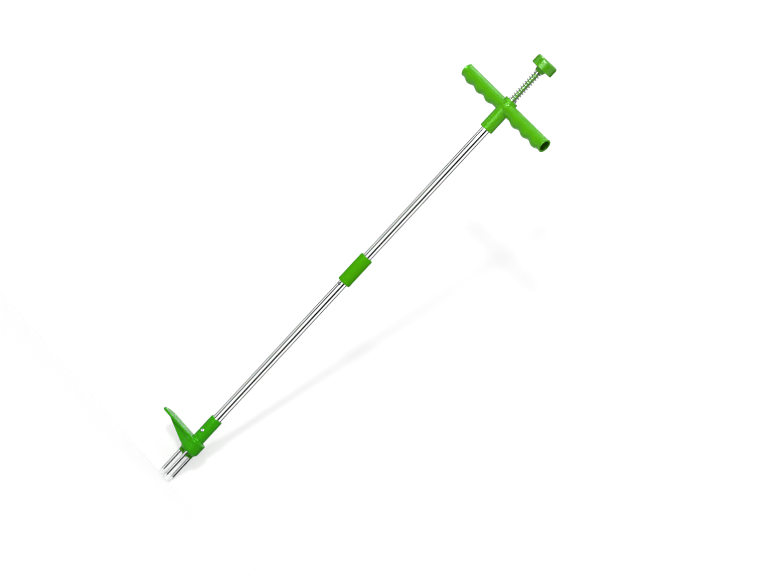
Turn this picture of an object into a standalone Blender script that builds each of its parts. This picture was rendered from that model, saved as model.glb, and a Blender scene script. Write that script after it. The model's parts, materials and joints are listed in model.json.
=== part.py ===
"""Stand-up weeder: a long two-part steel shaft with a T-handle, a foot pedal and a push-rod ejector.

The shaft stands along +Z and the three tines point down. The origin is on the shaft's axis at
the level of the tine tips. The handle bar lies along X and the pedal reaches towards -X. A knob
above the handle pushes one long rod through the shaft, and the ejector on the rod's lower end
slides down the tines and throws the weed off. The return spring lifts it again.
"""
import math

import bmesh
import bpy
from mathutils import Matrix, Vector

MM = 0.001

# Clearances between pieces
SEAT = 0.3 * MM          # between two pieces that touch
SLIDE = 0.3 * MM         # between a sliding piece and its guide

# Small edges of mouldings and turned ends, how far a cutter runs past what it cuts,
# and the distance below which two corners are one
SHARP_EDGE = 0.5 * MM
SOFT_EDGE = 0.7 * MM
LEDGE_EDGE = 1.0 * MM
PAST = 1.5 * MM
WELD = 0.001 * MM

# Tines
TINE_RADIUS = 3.0 * MM
TINE_CIRCLE = 12.6 * MM  # radius of the circle that the tine axes stand on
TINE_EXPOSED = 63.5 * MM
TINE_SEATED = 20.0 * MM
TINE_POINT = 11.0 * MM
TINE_TIP_RADIUS = 0.35 * MM
TINES = {"tine_pedal_side": 180, "tine_rear": 60, "tine_front": -60}

# Claw head: a cup that holds the tines, a socket for the tube, and the foot pedal
CUP_WALL = 2.4 * MM      # plastic outside each tine
CUP_RADIUS = TINE_CIRCLE + TINE_RADIUS + CUP_WALL
CUP_HEIGHT = 26.0 * MM
CUP_TAPER = 3.2 * MM
CUP_TAPER_HEIGHT = 5.2 * MM
SOCKET_RADIUS = 11.4 * MM
SOCKET_HEIGHT = 51.8 * MM
HEAD_WEB = 4.0 * MM      # floor between the ejector's pocket and the tube
PEDAL_REACH = 91.0 * MM
PEDAL_IN_CUP = 0.3 * MM  # from the cup's flank in to the tread's edge
PEDAL_WIDTH = 2 * (CUP_RADIUS - PEDAL_IN_CUP)
PEDAL_THICKNESS = 4.4 * MM
PEDAL_BELOW_CUP_TOP = 0.4 * MM
PEDAL_CORNER = 13.0 * MM
GUSSET_WALL = 2.6 * MM
GUSSET_REACH = 80.0 * MM
GUSSET_TIP_HALF = 5.0 * MM

# Ejector
EJECTOR_BLOCK_HEIGHT = 7.2 * MM
EJECTOR_PAST_TINE_AXIS = 1.9 * MM
EJECTOR_REACH = TINE_CIRCLE + EJECTOR_PAST_TINE_AXIS
EJECTOR_ARM_HALF = 5.3 * MM
STEM_TO_TINE = 1.6 * MM
STEM_REACH = TINE_CIRCLE - TINE_RADIUS - STEM_TO_TINE
STEM_ARM_HALF = 3.3 * MM
STEM_HEIGHT = 22.0 * MM

# Shaft
TUBE_RADIUS = 8.0 * MM
TUBE_WALL = 1.0 * MM
LOWER_TUBE_VISIBLE = 330.0 * MM
CONNECTOR_RADIUS = 12.5 * MM
CONNECTOR_LENGTH = 61.0 * MM
CONNECTOR_EDGE = 2.0 * MM
CONNECTOR_RIB = 3.0 * MM
UPPER_TUBE_VISIBLE = 306.7 * MM
GUIDE_LENGTH = 12.0 * MM
GUIDE_FROM_CONNECTOR = 170.0 * MM

# Snap button under the connector
BUTTON_RADIUS = 2.5 * MM
BUTTON_BELOW_CONNECTOR = 5.0 * MM
BUTTON_PROUD = 1.5 * MM
BUTTON_FOOT = 0.5 * MM       # how far the button reaches into the tube
BUTTON_DOME = 0.6            # height of the dome as a share of a half ball's
LEAF_WIDTH = 4.6 * MM
LEAF_THICKNESS = 0.6 * MM
LEAF_LENGTH = 30.0 * MM

# Eyelet rivets through the head's socket and the handle's collar
RIVET_RADIUS = 2.0 * MM
RIVET_BORE = 1.1 * MM
RIVET_FLANGE_RADIUS = 3.2 * MM
RIVET_FLANGE = 0.9 * MM
RIVET_CROWN_RADIUS = 2.4 * MM
RIVET_INSIDE_TUBE = 0.5 * MM
HEAD_RIVET_ABOVE_CUP = 21.0 * MM
HANDLE_RIVET_ABOVE_COLLAR_END = 14.0 * MM

# Handle
COLLAR_RADIUS = 12.7 * MM
COLLAR_TO_BAR = 51.0 * MM
BOSS_ABOVE_BAR_AXIS = 16.6 * MM
BAR_RADIUS = 12.4 * MM
BAR_HALF_LENGTH = 110.0 * MM
BAR_BORE = 9.5 * MM
BAR_CORE_HALF = 14.0 * MM    # solid middle of the bar, each side of the shaft
BAR_LIP = 0.8 * MM
BAR_LIP_WIDTH = 4.0 * MM
FINGER_BUMPS = 3
FINGER_FIRST = 37.0 * MM
FINGER_PITCH = 27.2 * MM
FINGER_DEPTH = 3.8 * MM
TUBE_BELOW_BAR_AXIS = 6.0 * MM
BUSH_RADIUS = 6.4 * MM
BUSH_LENGTH = 14.0 * MM

# Push knob, its stem and the return spring
KNOB_RADIUS = 21.4 * MM
KNOB_HEIGHT = 19.0 * MM
KNOB_EDGE = 3.4 * MM
KNOB_WALL = 2.6 * MM
KNOB_DECK = 3.2 * MM
KNOB_RIBS = 6
KNOB_RIB_WALL = 1.6 * MM
KNOB_RIB_UP = 2.0 * MM     # the ribs stop this far above the knob's mouth
RIB_BITE = 1.0 * MM
NECK_TOP_RADIUS = 9.5 * MM
NECK_RADIUS = 7.9 * MM
NECK_HEIGHT = 7.0 * MM
STEM_RADIUS = 4.3 * MM
STEM_IN_KNOB = 16.0 * MM
STEM_BELOW_COLLAR = 15.0 * MM
SPRING_RADIUS = 6.6 * MM     # to the wire's centre
SPRING_WIRE = 0.7 * MM       # wire radius
SPRING_TURNS = 13
SPRING_LENGTH = 65.7 * MM    # over the end coils
CLOSED_COIL_GAP = 0.15 * MM
WASHER_RADIUS = 8.2 * MM
WASHER_THICKNESS = 0.8 * MM

# Push rods and their joints
ROD_RADIUS = 2.5 * MM
ROD_IN_STEM = 26.0 * MM
PIN_RADIUS = 1.0 * MM
COUPLER_RADIUS = 5.0 * MM
COUPLER_LENGTH = 30.0 * MM
COUPLER_ABOVE_CONNECTOR = 32.0 * MM
ROD_IN_EJECTOR = 16.0 * MM
SCREW_RADIUS = 1.1 * MM
SCREW_HEAD_RADIUS = 2.9 * MM
SCREW_HEAD = 2.0 * MM
SCREW_LENGTH = 13.0 * MM
SCREW_SLOT = 0.8 * MM

# Levels along the shaft, worked out from the sizes above
HEAD_BASE = TINE_EXPOSED
CUP_TOP = HEAD_BASE + CUP_HEIGHT
TREAD = CUP_TOP - PEDAL_BELOW_CUP_TOP
TREAD_UNDER = TREAD - PEDAL_THICKNESS
SOCKET_TOP = CUP_TOP + SOCKET_HEIGHT
CONNECTOR_BASE = SOCKET_TOP + LOWER_TUBE_VISIBLE
CONNECTOR_TOP = CONNECTOR_BASE + CONNECTOR_LENGTH
CONNECTOR_MIDDLE = CONNECTOR_BASE + CONNECTOR_LENGTH / 2
COLLAR_END = CONNECTOR_TOP + UPPER_TUBE_VISIBLE
BAR_AXIS = COLLAR_END + COLLAR_TO_BAR
BOSS_TOP = BAR_AXIS + BOSS_ABOVE_BAR_AXIS
WASHER_TOP = BOSS_TOP + SEAT + WASHER_THICKNESS
SPRING_BASE = WASHER_TOP + SEAT
NECK_BASE = SPRING_BASE + SPRING_LENGTH + SEAT
KNOB_BASE = NECK_BASE + NECK_HEIGHT
KNOB_TOP = KNOB_BASE + KNOB_HEIGHT

EJECTOR_TOP = HEAD_BASE - SEAT
EJECTOR_BASE = EJECTOR_TOP - EJECTOR_BLOCK_HEIGHT
STEM_TOP = EJECTOR_TOP + STEM_HEIGHT
POCKET_TOP = STEM_TOP + 2 * SEAT
TUBE_SEAT = POCKET_TOP + HEAD_WEB
TUBE_INNER = TUBE_RADIUS - TUBE_WALL
BUTTON_LEVEL = CONNECTOR_BASE - BUTTON_BELOW_CONNECTOR
HEAD_RIVET_LEVEL = CUP_TOP + HEAD_RIVET_ABOVE_CUP
HANDLE_RIVET_LEVEL = COLLAR_END + HANDLE_RIVET_ABOVE_COLLAR_END
TUBE_TOP = BAR_AXIS - TUBE_BELOW_BAR_AXIS
COUPLER_BASE = CONNECTOR_TOP + COUPLER_ABOVE_CONNECTOR
COUPLER_MIDDLE = COUPLER_BASE + COUPLER_LENGTH / 2
GUIDE_STEM_END = COLLAR_END - STEM_BELOW_COLLAR
SCREW_SEAT = EJECTOR_BASE + SCREW_HEAD + 2 * SEAT

FINE = 48      # sides of a large round piece
COARSE = 32    # sides of a tube or rod
SMALL = 20     # sides of a rivet, screw or pin

FRONT = -90    # direction of the head's rivet and the snap button, in degrees about Z
REAR = 90      # direction of the handle's rivet

PARTS = "stand_up_weeder"
CUTTERS = "cutters"


# ---------------------------------------------------------------- scene and materials

def clear_scene():
    """Remove every object and make the two collections."""
    for obj in list(bpy.data.objects):
        bpy.data.objects.remove(obj, do_unlink=True)
    for name in (PARTS, CUTTERS):
        if name not in bpy.data.collections:
            bpy.context.scene.collection.children.link(bpy.data.collections.new(name))


def plain_material(name, colour, roughness, metallic=0.0):
    """Return a Principled material, made once for each name."""
    material = bpy.data.materials.get(name) or bpy.data.materials.new(name)
    material.use_nodes = True
    shader = material.node_tree.nodes["Principled BSDF"]
    shader.inputs["Base Color"].default_value = (*colour, 1.0)
    shader.inputs["Roughness"].default_value = roughness
    shader.inputs["Metallic"].default_value = metallic
    material.diffuse_color = (*colour, 1.0)
    return material


def handle_green():
    return plain_material("handle_green", (0.068, 0.402, 0.003), 0.35)


def head_green():
    return plain_material("head_green", (0.028, 0.342, 0.003), 0.38)


def ejector_green():
    return plain_material("ejector_green", (0.10, 0.56, 0.004), 0.35)


def polished_steel():
    return plain_material("polished_steel", (0.80, 0.81, 0.82), 0.08, 1.0)


def plain_steel():
    return plain_material("plain_steel", (0.55, 0.56, 0.57), 0.30, 1.0)


def spring_steel():
    return plain_material("spring_steel", (0.42, 0.43, 0.44), 0.25, 1.0)


def dark_plastic():
    return plain_material("dark_plastic", (0.03, 0.03, 0.03), 0.5)


# ---------------------------------------------------------------- building blocks

def place(obj, collection):
    """Link an object to a collection only."""
    for old in list(obj.users_collection):
        old.objects.unlink(obj)
    bpy.data.collections[collection].objects.link(obj)


def as_part(obj, name, material):
    """Name a finished piece, give it its material and weld the seams of its cuts."""
    if obj.modifiers:
        weld = obj.modifiers.new("weld", "WELD")
        weld.merge_threshold = 2 * WELD
    obj.name = name
    obj.data.name = name
    obj.data.materials.clear()
    obj.data.materials.append(material)
    place(obj, PARTS)
    obj.hide_render = False
    obj.display_type = "SOLID"
    return obj


def as_cutter(obj):
    """Keep a shape that only cuts or joins another out of the finished parts."""
    place(obj, CUTTERS)
    obj.hide_render = True
    obj.display_type = "WIRE"
    return obj


def new_object(name, bm):
    """Turn a bmesh into an object, which starts as a cutter."""
    mesh = bpy.data.meshes.new(name)
    bmesh.ops.recalc_face_normals(bm, faces=bm.faces)
    bm.to_mesh(mesh)
    bm.free()
    mesh.shade_smooth()
    mesh.set_sharp_from_angle(angle=math.radians(35))
    obj = bpy.data.objects.new(name, mesh)
    bpy.data.collections[CUTTERS].objects.link(obj)
    return as_cutter(obj)


def cylinder(name, radius, base, top, at=(0.0, 0.0), sides=COARSE):
    """A plain cylinder that stands along Z."""
    bm = bmesh.new()
    bmesh.ops.create_cone(
        bm, cap_ends=True, segments=sides, radius1=radius, radius2=radius, depth=top - base)
    bmesh.ops.translate(bm, verts=bm.verts, vec=(at[0], at[1], (base + top) / 2))
    return new_object(name, bm)


def box(name, low, high):
    """A box between two corners."""
    bm = bmesh.new()
    bmesh.ops.create_cube(bm, size=1.0)
    size = [b - a for a, b in zip(low, high)]
    centre = [(a + b) / 2 for a, b in zip(low, high)]
    bmesh.ops.scale(bm, verts=bm.verts, vec=size)
    bmesh.ops.translate(bm, verts=bm.verts, vec=centre)
    return new_object(name, bm)


def turned(name, profile, closed, sides=COARSE):
    """Turn a profile of (radius, height) points about Z with a Screw modifier.

    The profile runs down its outer side. A closed profile makes a ring, and an open one
    starts and ends on the axis.
    """
    mesh = bpy.data.meshes.new(name)
    points = [(radius, 0.0, height) for radius, height in profile]
    edges = [(i, i + 1) for i in range(len(points) - 1)]
    if closed:
        edges.append((len(points) - 1, 0))
    mesh.from_pydata(points, edges, [])
    obj = bpy.data.objects.new(name, mesh)
    bpy.data.collections[CUTTERS].objects.link(obj)
    screw = obj.modifiers.new("turn", "SCREW")
    screw.axis = "Z"
    screw.steps = sides
    screw.render_steps = sides
    screw.use_smooth_shade = True
    screw.use_merge_vertices = True
    screw.merge_threshold = 10 * WELD
    return as_cutter(meshed(obj))


def slab(name, outline, base, top):
    """Extrude a flat outline in XY to a plate between two levels."""
    curve = bpy.data.curves.new(name, "CURVE")
    curve.dimensions = "2D"
    curve.fill_mode = "BOTH"
    curve.extrude = (top - base) / 2
    spline = curve.splines.new("POLY")
    spline.points.add(len(outline) - 1)
    for point, (x, y) in zip(spline.points, outline):
        point.co = (x, y, 0.0, 1.0)
    spline.use_cyclic_u = True
    obj = bpy.data.objects.new(name, curve)
    obj.location.z = (base + top) / 2
    bpy.data.collections[CUTTERS].objects.link(obj)
    return as_cutter(meshed(obj))


def meshed(obj):
    """Replace a curve or modified object with the welded mesh that it evaluates to."""
    bpy.context.view_layer.update()
    evaluated = obj.evaluated_get(bpy.context.evaluated_depsgraph_get())
    mesh = bpy.data.meshes.new_from_object(evaluated)
    bm = bmesh.new()
    bm.from_mesh(mesh)
    bmesh.ops.remove_doubles(bm, verts=bm.verts, dist=WELD)
    bmesh.ops.transform(bm, matrix=obj.matrix_world, verts=bm.verts)
    name = obj.name
    bpy.data.objects.remove(obj, do_unlink=True)
    bpy.data.meshes.remove(mesh)
    return new_object(name, bm)


def turn_mesh(obj, matrix):
    """Move a piece's mesh, and leave its origin where it is."""
    obj.data.transform(matrix)
    return obj


def combine(target, tool, operation):
    """Add one exact Boolean to a piece."""
    modifier = target.modifiers.new(operation.lower(), "BOOLEAN")
    modifier.operation = operation
    modifier.solver = "EXACT"
    modifier.object = as_cutter(tool)
    return target


def cut(target, *tools):
    for tool in tools:
        combine(target, tool, "DIFFERENCE")
    return target


def join(target, *tools):
    for tool in tools:
        combine(target, tool, "UNION")
    return target


def arc(centre, radius, start, end, steps):
    """Points of an arc in any plane, from one angle to another in degrees."""
    points = []
    for i in range(steps + 1):
        angle = math.radians(start + (end - start) * i / steps)
        points.append((centre[0] + radius * math.cos(angle), centre[1] + radius * math.sin(angle)))
    return points


def polar(radius, degrees):
    angle = math.radians(degrees)
    return radius * math.cos(angle), radius * math.sin(angle)


def radial(obj, degrees, level):
    """Lay a piece made along Z out along a radius of the shaft, at one level."""
    spin = Matrix.Rotation(math.radians(degrees), 4, "Z")
    lay = Matrix.Rotation(math.radians(90), 4, "Y")
    return turn_mesh(obj, Matrix.Translation((0, 0, level)) @ spin @ lay)


def three_armed(reach, half_width):
    """Outline of a three-armed star with an arm towards each tine and round arm ends."""
    side = math.degrees(math.asin(half_width / reach))
    crotch = half_width / math.sin(math.radians(60))
    outline = []
    for degrees in sorted(angle % 360 for angle in TINES.values()):
        outline += arc((0, 0), reach, degrees - side, degrees + side, 5)
        outline.append(polar(crotch, degrees + 60))
    return outline


# ---------------------------------------------------------------- tines and claw head

def make_tines():
    for name, degrees in TINES.items():
        top = HEAD_BASE + TINE_SEATED
        profile = [(0, top), (TINE_RADIUS, top), (TINE_RADIUS, TINE_POINT),
                   (TINE_TIP_RADIUS, 0), (0, 0)]
        tine = turned(name, profile, closed=False, sides=SMALL)
        x, y = polar(TINE_CIRCLE, degrees)
        as_part(turn_mesh(tine, Matrix.Translation((x, y, 0))), name, polished_steel())


def tine_holes(radius, base, top):
    """One cutter for each tine, of a given radius."""
    return [cylinder("tine_hole", radius, base, top, polar(TINE_CIRCLE, degrees), SMALL)
            for degrees in TINES.values()]


def pedal_plate():
    """The flat tread, with a rounded tip and a root that reaches into the cup."""
    half = PEDAL_WIDTH / 2
    corner = (-PEDAL_REACH + PEDAL_CORNER, half - PEDAL_CORNER)
    outline = [(0, -half), (0, half)]
    outline += arc(corner, PEDAL_CORNER, 90, 180, 6)
    outline += arc((corner[0], -corner[1]), PEDAL_CORNER, 180, 270, 6)
    return slab("pedal_plate", outline, TREAD_UNDER, TREAD)


def pedal_gussets():
    """Two walls that narrow towards the tip and a rib between them, under the tread."""
    root_half = CUP_RADIUS - GUSSET_WALL / 2
    base = HEAD_BASE + CUP_TAPER_HEIGHT
    top = TREAD_UNDER + PEDAL_THICKNESS / 2
    outer = [(0, -root_half), (0, root_half),
             (-GUSSET_REACH, GUSSET_TIP_HALF), (-GUSSET_REACH, -GUSSET_TIP_HALF)]
    walls = slab("pedal_gussets", outer, base, top)
    slope = (root_half - GUSSET_TIP_HALF) / GUSSET_REACH
    start, end = -CUP_RADIUS / 2, -GUSSET_REACH + GUSSET_WALL
    for side in (-1, 1):
        inner = [(start, side * GUSSET_WALL / 2),
                 (end, side * GUSSET_WALL / 2),
                 (end, side * (GUSSET_TIP_HALF - GUSSET_WALL / 2)),
                 (start, side * (root_half + slope * start - GUSSET_WALL))]
        cut(walls, slab("gusset_hollow", inner, base - PAST, top + PAST))
    drop = base - CUP_HEIGHT
    under = [(-CUP_RADIUS, base), (-GUSSET_REACH, TREAD_UNDER), (-PEDAL_REACH, TREAD_UNDER),
             (-PEDAL_REACH, drop), (-CUP_RADIUS, drop)]
    slope_cutter = slab("gusset_slope", under, -PEDAL_WIDTH, PEDAL_WIDTH)
    return cut(walls, turn_mesh(slope_cutter, Matrix.Rotation(math.radians(90), 4, "X")))


def make_head():
    profile = [
        (0, SOCKET_TOP),
        (SOCKET_RADIUS - SOFT_EDGE, SOCKET_TOP),
        (SOCKET_RADIUS, SOCKET_TOP - SOFT_EDGE),
        (SOCKET_RADIUS, CUP_TOP),
        (CUP_RADIUS - LEDGE_EDGE, CUP_TOP),
        (CUP_RADIUS, CUP_TOP - LEDGE_EDGE),
        (CUP_RADIUS, HEAD_BASE + CUP_TAPER_HEIGHT),
        (CUP_RADIUS - CUP_TAPER, HEAD_BASE),
        (0, HEAD_BASE),
    ]
    head = turned("claw_head", profile, closed=False, sides=FINE)
    join(head, pedal_plate(), pedal_gussets())
    below = HEAD_BASE - PAST
    cut(head, slab("stem_pocket", three_armed(STEM_REACH + SLIDE, STEM_ARM_HALF + SLIDE),
                   below, POCKET_TOP))
    cut(head, cylinder("rod_hole", ROD_RADIUS + SLIDE, below, TUBE_SEAT + PAST))
    cut(head, cylinder("tube_bore", TUBE_RADIUS + SEAT, TUBE_SEAT, SOCKET_TOP + PAST))
    cut(head, *tine_holes(TINE_RADIUS + SEAT / 2, below, HEAD_BASE + TINE_SEATED + SEAT))
    cut(head, rivet_hole(SOCKET_RADIUS, FRONT, HEAD_RIVET_LEVEL))
    as_part(head, "claw_head", head_green())


# ---------------------------------------------------------------- rivets and snap button

def rivet_hole(outer_radius, degrees, level):
    """Cutter for the hole that a rivet passes through a sleeve and its tube."""
    hole = cylinder("rivet_hole", RIVET_RADIUS + SEAT / 2, TUBE_INNER - PAST,
                    outer_radius + PAST, sides=SMALL)
    return radial(hole, degrees, level)


def make_rivet(name, outer_radius, degrees, level):
    """A hollow eyelet: a domed flange outside the sleeve and a shank that ends inside the tube."""
    flange_base = outer_radius + SEAT
    shank_end = TUBE_INNER - RIVET_INSIDE_TUBE
    profile = [
        (RIVET_BORE, flange_base + RIVET_FLANGE),
        (RIVET_CROWN_RADIUS, flange_base + RIVET_FLANGE),
        (RIVET_FLANGE_RADIUS, flange_base + RIVET_FLANGE / 3),
        (RIVET_FLANGE_RADIUS, flange_base),
        (RIVET_RADIUS, flange_base),
        (RIVET_RADIUS, shank_end),
        (RIVET_BORE, shank_end),
    ]
    rivet = turned(name, profile, closed=True, sides=SMALL)
    as_part(radial(rivet, degrees, level), name, polished_steel())


def make_snap_button():
    """The domed button that stands out of the lower tube, and the leaf spring under it."""
    tip = TUBE_RADIUS + BUTTON_PROUD
    foot = TUBE_INNER - BUTTON_FOOT
    half_ball = arc((0, 0), BUTTON_RADIUS, 90, 0, 5)
    rim = tip - BUTTON_RADIUS * BUTTON_DOME
    dome = [(r, rim + z * BUTTON_DOME) for r, z in half_ball]
    profile = [(0, tip)] + dome[1:] + [(BUTTON_RADIUS, foot), (0, foot)]
    button = turned("snap_button", profile, closed=False, sides=SMALL)
    as_part(radial(button, FRONT, BUTTON_LEVEL), "snap_button", polished_steel())

    outer = foot - SEAT
    leaf = box("snap_leaf_spring",
               (-LEAF_WIDTH / 2, -outer, BUTTON_LEVEL - LEAF_LENGTH + BUTTON_RADIUS * 2),
               (LEAF_WIDTH / 2, -outer + LEAF_THICKNESS, BUTTON_LEVEL + BUTTON_RADIUS * 2))
    as_part(leaf, "snap_leaf_spring", spring_steel())


# ---------------------------------------------------------------- shaft

def tube(name, outer, inner, base, top, sides=COARSE):
    return turned(name, [(outer, top), (outer, base), (inner, base), (inner, top)], True, sides)


def make_tubes():
    lower_top = CONNECTOR_MIDDLE - CONNECTOR_RIB / 2 - SEAT
    lower = tube("lower_tube", TUBE_RADIUS, TUBE_INNER, TUBE_SEAT + SEAT, lower_top)
    button_hole = cylinder("button_hole", BUTTON_RADIUS + SLIDE, TUBE_INNER - PAST,
                           TUBE_RADIUS + PAST, sides=SMALL)
    cut(lower, rivet_hole(SOCKET_RADIUS, FRONT, HEAD_RIVET_LEVEL),
        radial(button_hole, FRONT, BUTTON_LEVEL))
    as_part(lower, "lower_tube", polished_steel())

    upper_base = CONNECTOR_MIDDLE + CONNECTOR_RIB / 2 + SEAT
    upper = tube("upper_tube", TUBE_RADIUS, TUBE_INNER, upper_base, TUBE_TOP - SEAT)
    cut(upper, rivet_hole(COLLAR_RADIUS, REAR, HANDLE_RIVET_LEVEL))
    as_part(upper, "upper_tube", polished_steel())


def make_connector():
    """The sleeve that joins the two tubes, with a rib between their ends."""
    bore = TUBE_RADIUS + SEAT
    rib_bore = ROD_RADIUS + 2 * SLIDE
    rib_base = CONNECTOR_MIDDLE - CONNECTOR_RIB / 2
    rib_top = rib_base + CONNECTOR_RIB
    edge = CONNECTOR_RADIUS - CONNECTOR_EDGE
    profile = arc((edge, CONNECTOR_TOP - CONNECTOR_EDGE), CONNECTOR_EDGE, 90, 0, 4)
    profile += arc((edge, CONNECTOR_BASE + CONNECTOR_EDGE), CONNECTOR_EDGE, 0, -90, 4)
    profile += [(bore, CONNECTOR_BASE), (bore, rib_base), (rib_bore, rib_base),
                (rib_bore, rib_top), (bore, rib_top), (bore, CONNECTOR_TOP)]
    sleeve = turned("connector_sleeve", profile, closed=True)
    as_part(sleeve, "connector_sleeve", handle_green())


def make_rod_guides():
    """Two plastic rings that keep the rod in the middle of the tubes."""
    places = {"lower_rod_guide": CONNECTOR_BASE - GUIDE_FROM_CONNECTOR - GUIDE_LENGTH,
              "upper_rod_guide": CONNECTOR_TOP + GUIDE_FROM_CONNECTOR}
    for name, base in places.items():
        ring = tube(name, TUBE_INNER - SEAT, ROD_RADIUS + SLIDE, base, base + GUIDE_LENGTH)
        as_part(ring, name, dark_plastic())


# ---------------------------------------------------------------- handle

def finger_bump(x):
    """Depth of the finger bumps below the bar at a place along it."""
    along = abs(x) - FINGER_FIRST
    if not -FINGER_PITCH / 2 < along < (FINGER_BUMPS - 0.5) * FINGER_PITCH:
        return 0.0
    return FINGER_DEPTH * (0.5 + 0.5 * math.cos(2 * math.pi * along / FINGER_PITCH))


def bar_stations():
    """Places along half the bar where its section changes."""
    steps = 6
    start = FINGER_FIRST - FINGER_PITCH / 2
    stations = [start + FINGER_PITCH * i / steps for i in range(FINGER_BUMPS * steps + 1)]
    return stations + [BAR_HALF_LENGTH - BAR_LIP_WIDTH, BAR_HALF_LENGTH - BAR_LIP_WIDTH / 2]


def scalloped_bar():
    """A cylinder along X whose underside swells into finger bumps, with a small lip at each end."""
    bm = bmesh.new()
    bmesh.ops.create_cone(bm, cap_ends=True, segments=COARSE, radius1=BAR_RADIUS,
                          radius2=BAR_RADIUS, depth=2 * BAR_HALF_LENGTH)
    bmesh.ops.rotate(bm, verts=bm.verts, matrix=Matrix.Rotation(math.radians(90), 3, "Y"))
    for station in bar_stations():
        for x in (-station, station):
            geometry = bm.verts[:] + bm.edges[:] + bm.faces[:]
            bmesh.ops.bisect_plane(bm, geom=geometry, dist=1e-7, plane_co=(x, 0, 0),
                                   plane_no=(1, 0, 0))
    lip_start = BAR_HALF_LENGTH - BAR_LIP_WIDTH
    for vertex in bm.verts:
        x, y, z = vertex.co
        out = max(0.0, abs(x) - lip_start) / BAR_LIP_WIDTH
        grow = 1.0 + BAR_LIP * out / BAR_RADIUS
        down = max(0.0, -z / BAR_RADIUS)
        vertex.co = Vector((x, y * grow, z * grow - finger_bump(x) * down ** 1.5))
    bmesh.ops.translate(bm, verts=bm.verts, vec=(0, 0, BAR_AXIS))
    return new_object("handle", bm)


def make_handle():
    handle = scalloped_bar()
    collar = [
        (0, BOSS_TOP),
        (COLLAR_RADIUS - SOFT_EDGE, BOSS_TOP),
        (COLLAR_RADIUS, BOSS_TOP - SOFT_EDGE),
        (COLLAR_RADIUS, COLLAR_END + SOFT_EDGE),
        (COLLAR_RADIUS - SOFT_EDGE, COLLAR_END),
        (0, COLLAR_END),
    ]
    join(handle, turned("collar", collar, closed=False, sides=FINE))
    quarter = Matrix.Rotation(math.radians(90), 4, "Y")
    for side in (-1, 1):
        ends = sorted((side * BAR_CORE_HALF, side * (BAR_HALF_LENGTH + PAST)))
        bore = turn_mesh(cylinder("bar_bore", BAR_BORE, *ends), quarter)
        cut(handle, turn_mesh(bore, Matrix.Translation((0, 0, BAR_AXIS))))
    cut(handle,
        cylinder("tube_bore", TUBE_RADIUS + SEAT, COLLAR_END - PAST, TUBE_TOP),
        cylinder("stem_hole", STEM_RADIUS + 2 * SLIDE, COLLAR_END - PAST, BOSS_TOP + PAST),
        cylinder("bush_bore", BUSH_RADIUS + SEAT, BOSS_TOP - BUSH_LENGTH - SEAT, BOSS_TOP + PAST),
        rivet_hole(COLLAR_RADIUS, REAR, HANDLE_RIVET_LEVEL))
    as_part(handle, "handle", handle_green())


def make_handle_bush():
    bush = tube("handle_bush", BUSH_RADIUS, STEM_RADIUS + SLIDE, BOSS_TOP - BUSH_LENGTH, BOSS_TOP)
    as_part(bush, "handle_bush", dark_plastic())


def make_washer():
    washer = tube("spring_washer", WASHER_RADIUS, STEM_RADIUS + 2 * SLIDE,
                  WASHER_TOP - WASHER_THICKNESS, WASHER_TOP)
    as_part(washer, "spring_washer", plain_steel())


# ---------------------------------------------------------------- plunger

def make_return_spring():
    """A compression spring with closed end coils, on a coil of straight steps."""
    per_turn = 14
    closed_turns = 1.0
    low = SPRING_BASE + SPRING_WIRE
    high = SPRING_BASE + SPRING_LENGTH - SPRING_WIRE
    closed_pitch = 2 * SPRING_WIRE + CLOSED_COIL_GAP
    count = SPRING_TURNS * per_turn + 1
    curve = bpy.data.curves.new("return_spring", "CURVE")
    curve.dimensions = "3D"
    curve.bevel_depth = SPRING_WIRE
    curve.bevel_resolution = 2
    curve.use_fill_caps = True
    spline = curve.splines.new("POLY")
    spline.points.add(count - 1)
    open_pitch = (high - low - 2 * closed_turns * closed_pitch) / (SPRING_TURNS - 2 * closed_turns)
    for i, point in enumerate(spline.points):
        turn = i / per_turn
        from_bottom = min(turn, closed_turns) * closed_pitch
        from_top = max(0.0, turn - SPRING_TURNS + closed_turns) * closed_pitch
        middle = max(0.0, min(turn, SPRING_TURNS - closed_turns) - closed_turns) * open_pitch
        x, y = polar(SPRING_RADIUS, 360 * turn)
        point.co = (x, y, low + from_bottom + middle + from_top, 1.0)
    obj = bpy.data.objects.new("return_spring", curve)
    bpy.data.collections[CUTTERS].objects.link(obj)
    as_part(meshed(obj), "return_spring", spring_steel())


def make_knob():
    """The push cap: a disc with a rounded rim, hollow below, with a boss that narrows to the neck."""
    rim = KNOB_RADIUS - KNOB_EDGE
    boss = NECK_TOP_RADIUS
    deck = KNOB_TOP - KNOB_DECK
    inside = KNOB_RADIUS - KNOB_WALL
    stem_bore = STEM_RADIUS + SEAT
    stem_seat = NECK_BASE + STEM_IN_KNOB + SEAT
    profile = [(0, KNOB_TOP)]
    profile += arc((rim, KNOB_TOP - KNOB_EDGE), KNOB_EDGE, 90, 0, 5)
    profile += [(KNOB_RADIUS, KNOB_BASE + SOFT_EDGE), (KNOB_RADIUS - SOFT_EDGE, KNOB_BASE),
                (inside, KNOB_BASE), (inside, deck), (boss, deck), (boss, KNOB_BASE),
                (NECK_RADIUS, NECK_BASE), (stem_bore, NECK_BASE),
                (stem_bore, stem_seat), (0, stem_seat)]
    knob = turned("push_knob", profile, closed=False, sides=FINE)
    for i in range(KNOB_RIBS):
        rib = box("knob_rib", (boss - RIB_BITE, -KNOB_RIB_WALL / 2, KNOB_BASE + KNOB_RIB_UP),
                  (inside + RIB_BITE, KNOB_RIB_WALL / 2, deck + RIB_BITE))
        join(knob, turn_mesh(rib, Matrix.Rotation(math.radians(360 * i / KNOB_RIBS), 4, "Z")))
    as_part(knob, "push_knob", handle_green())


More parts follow.
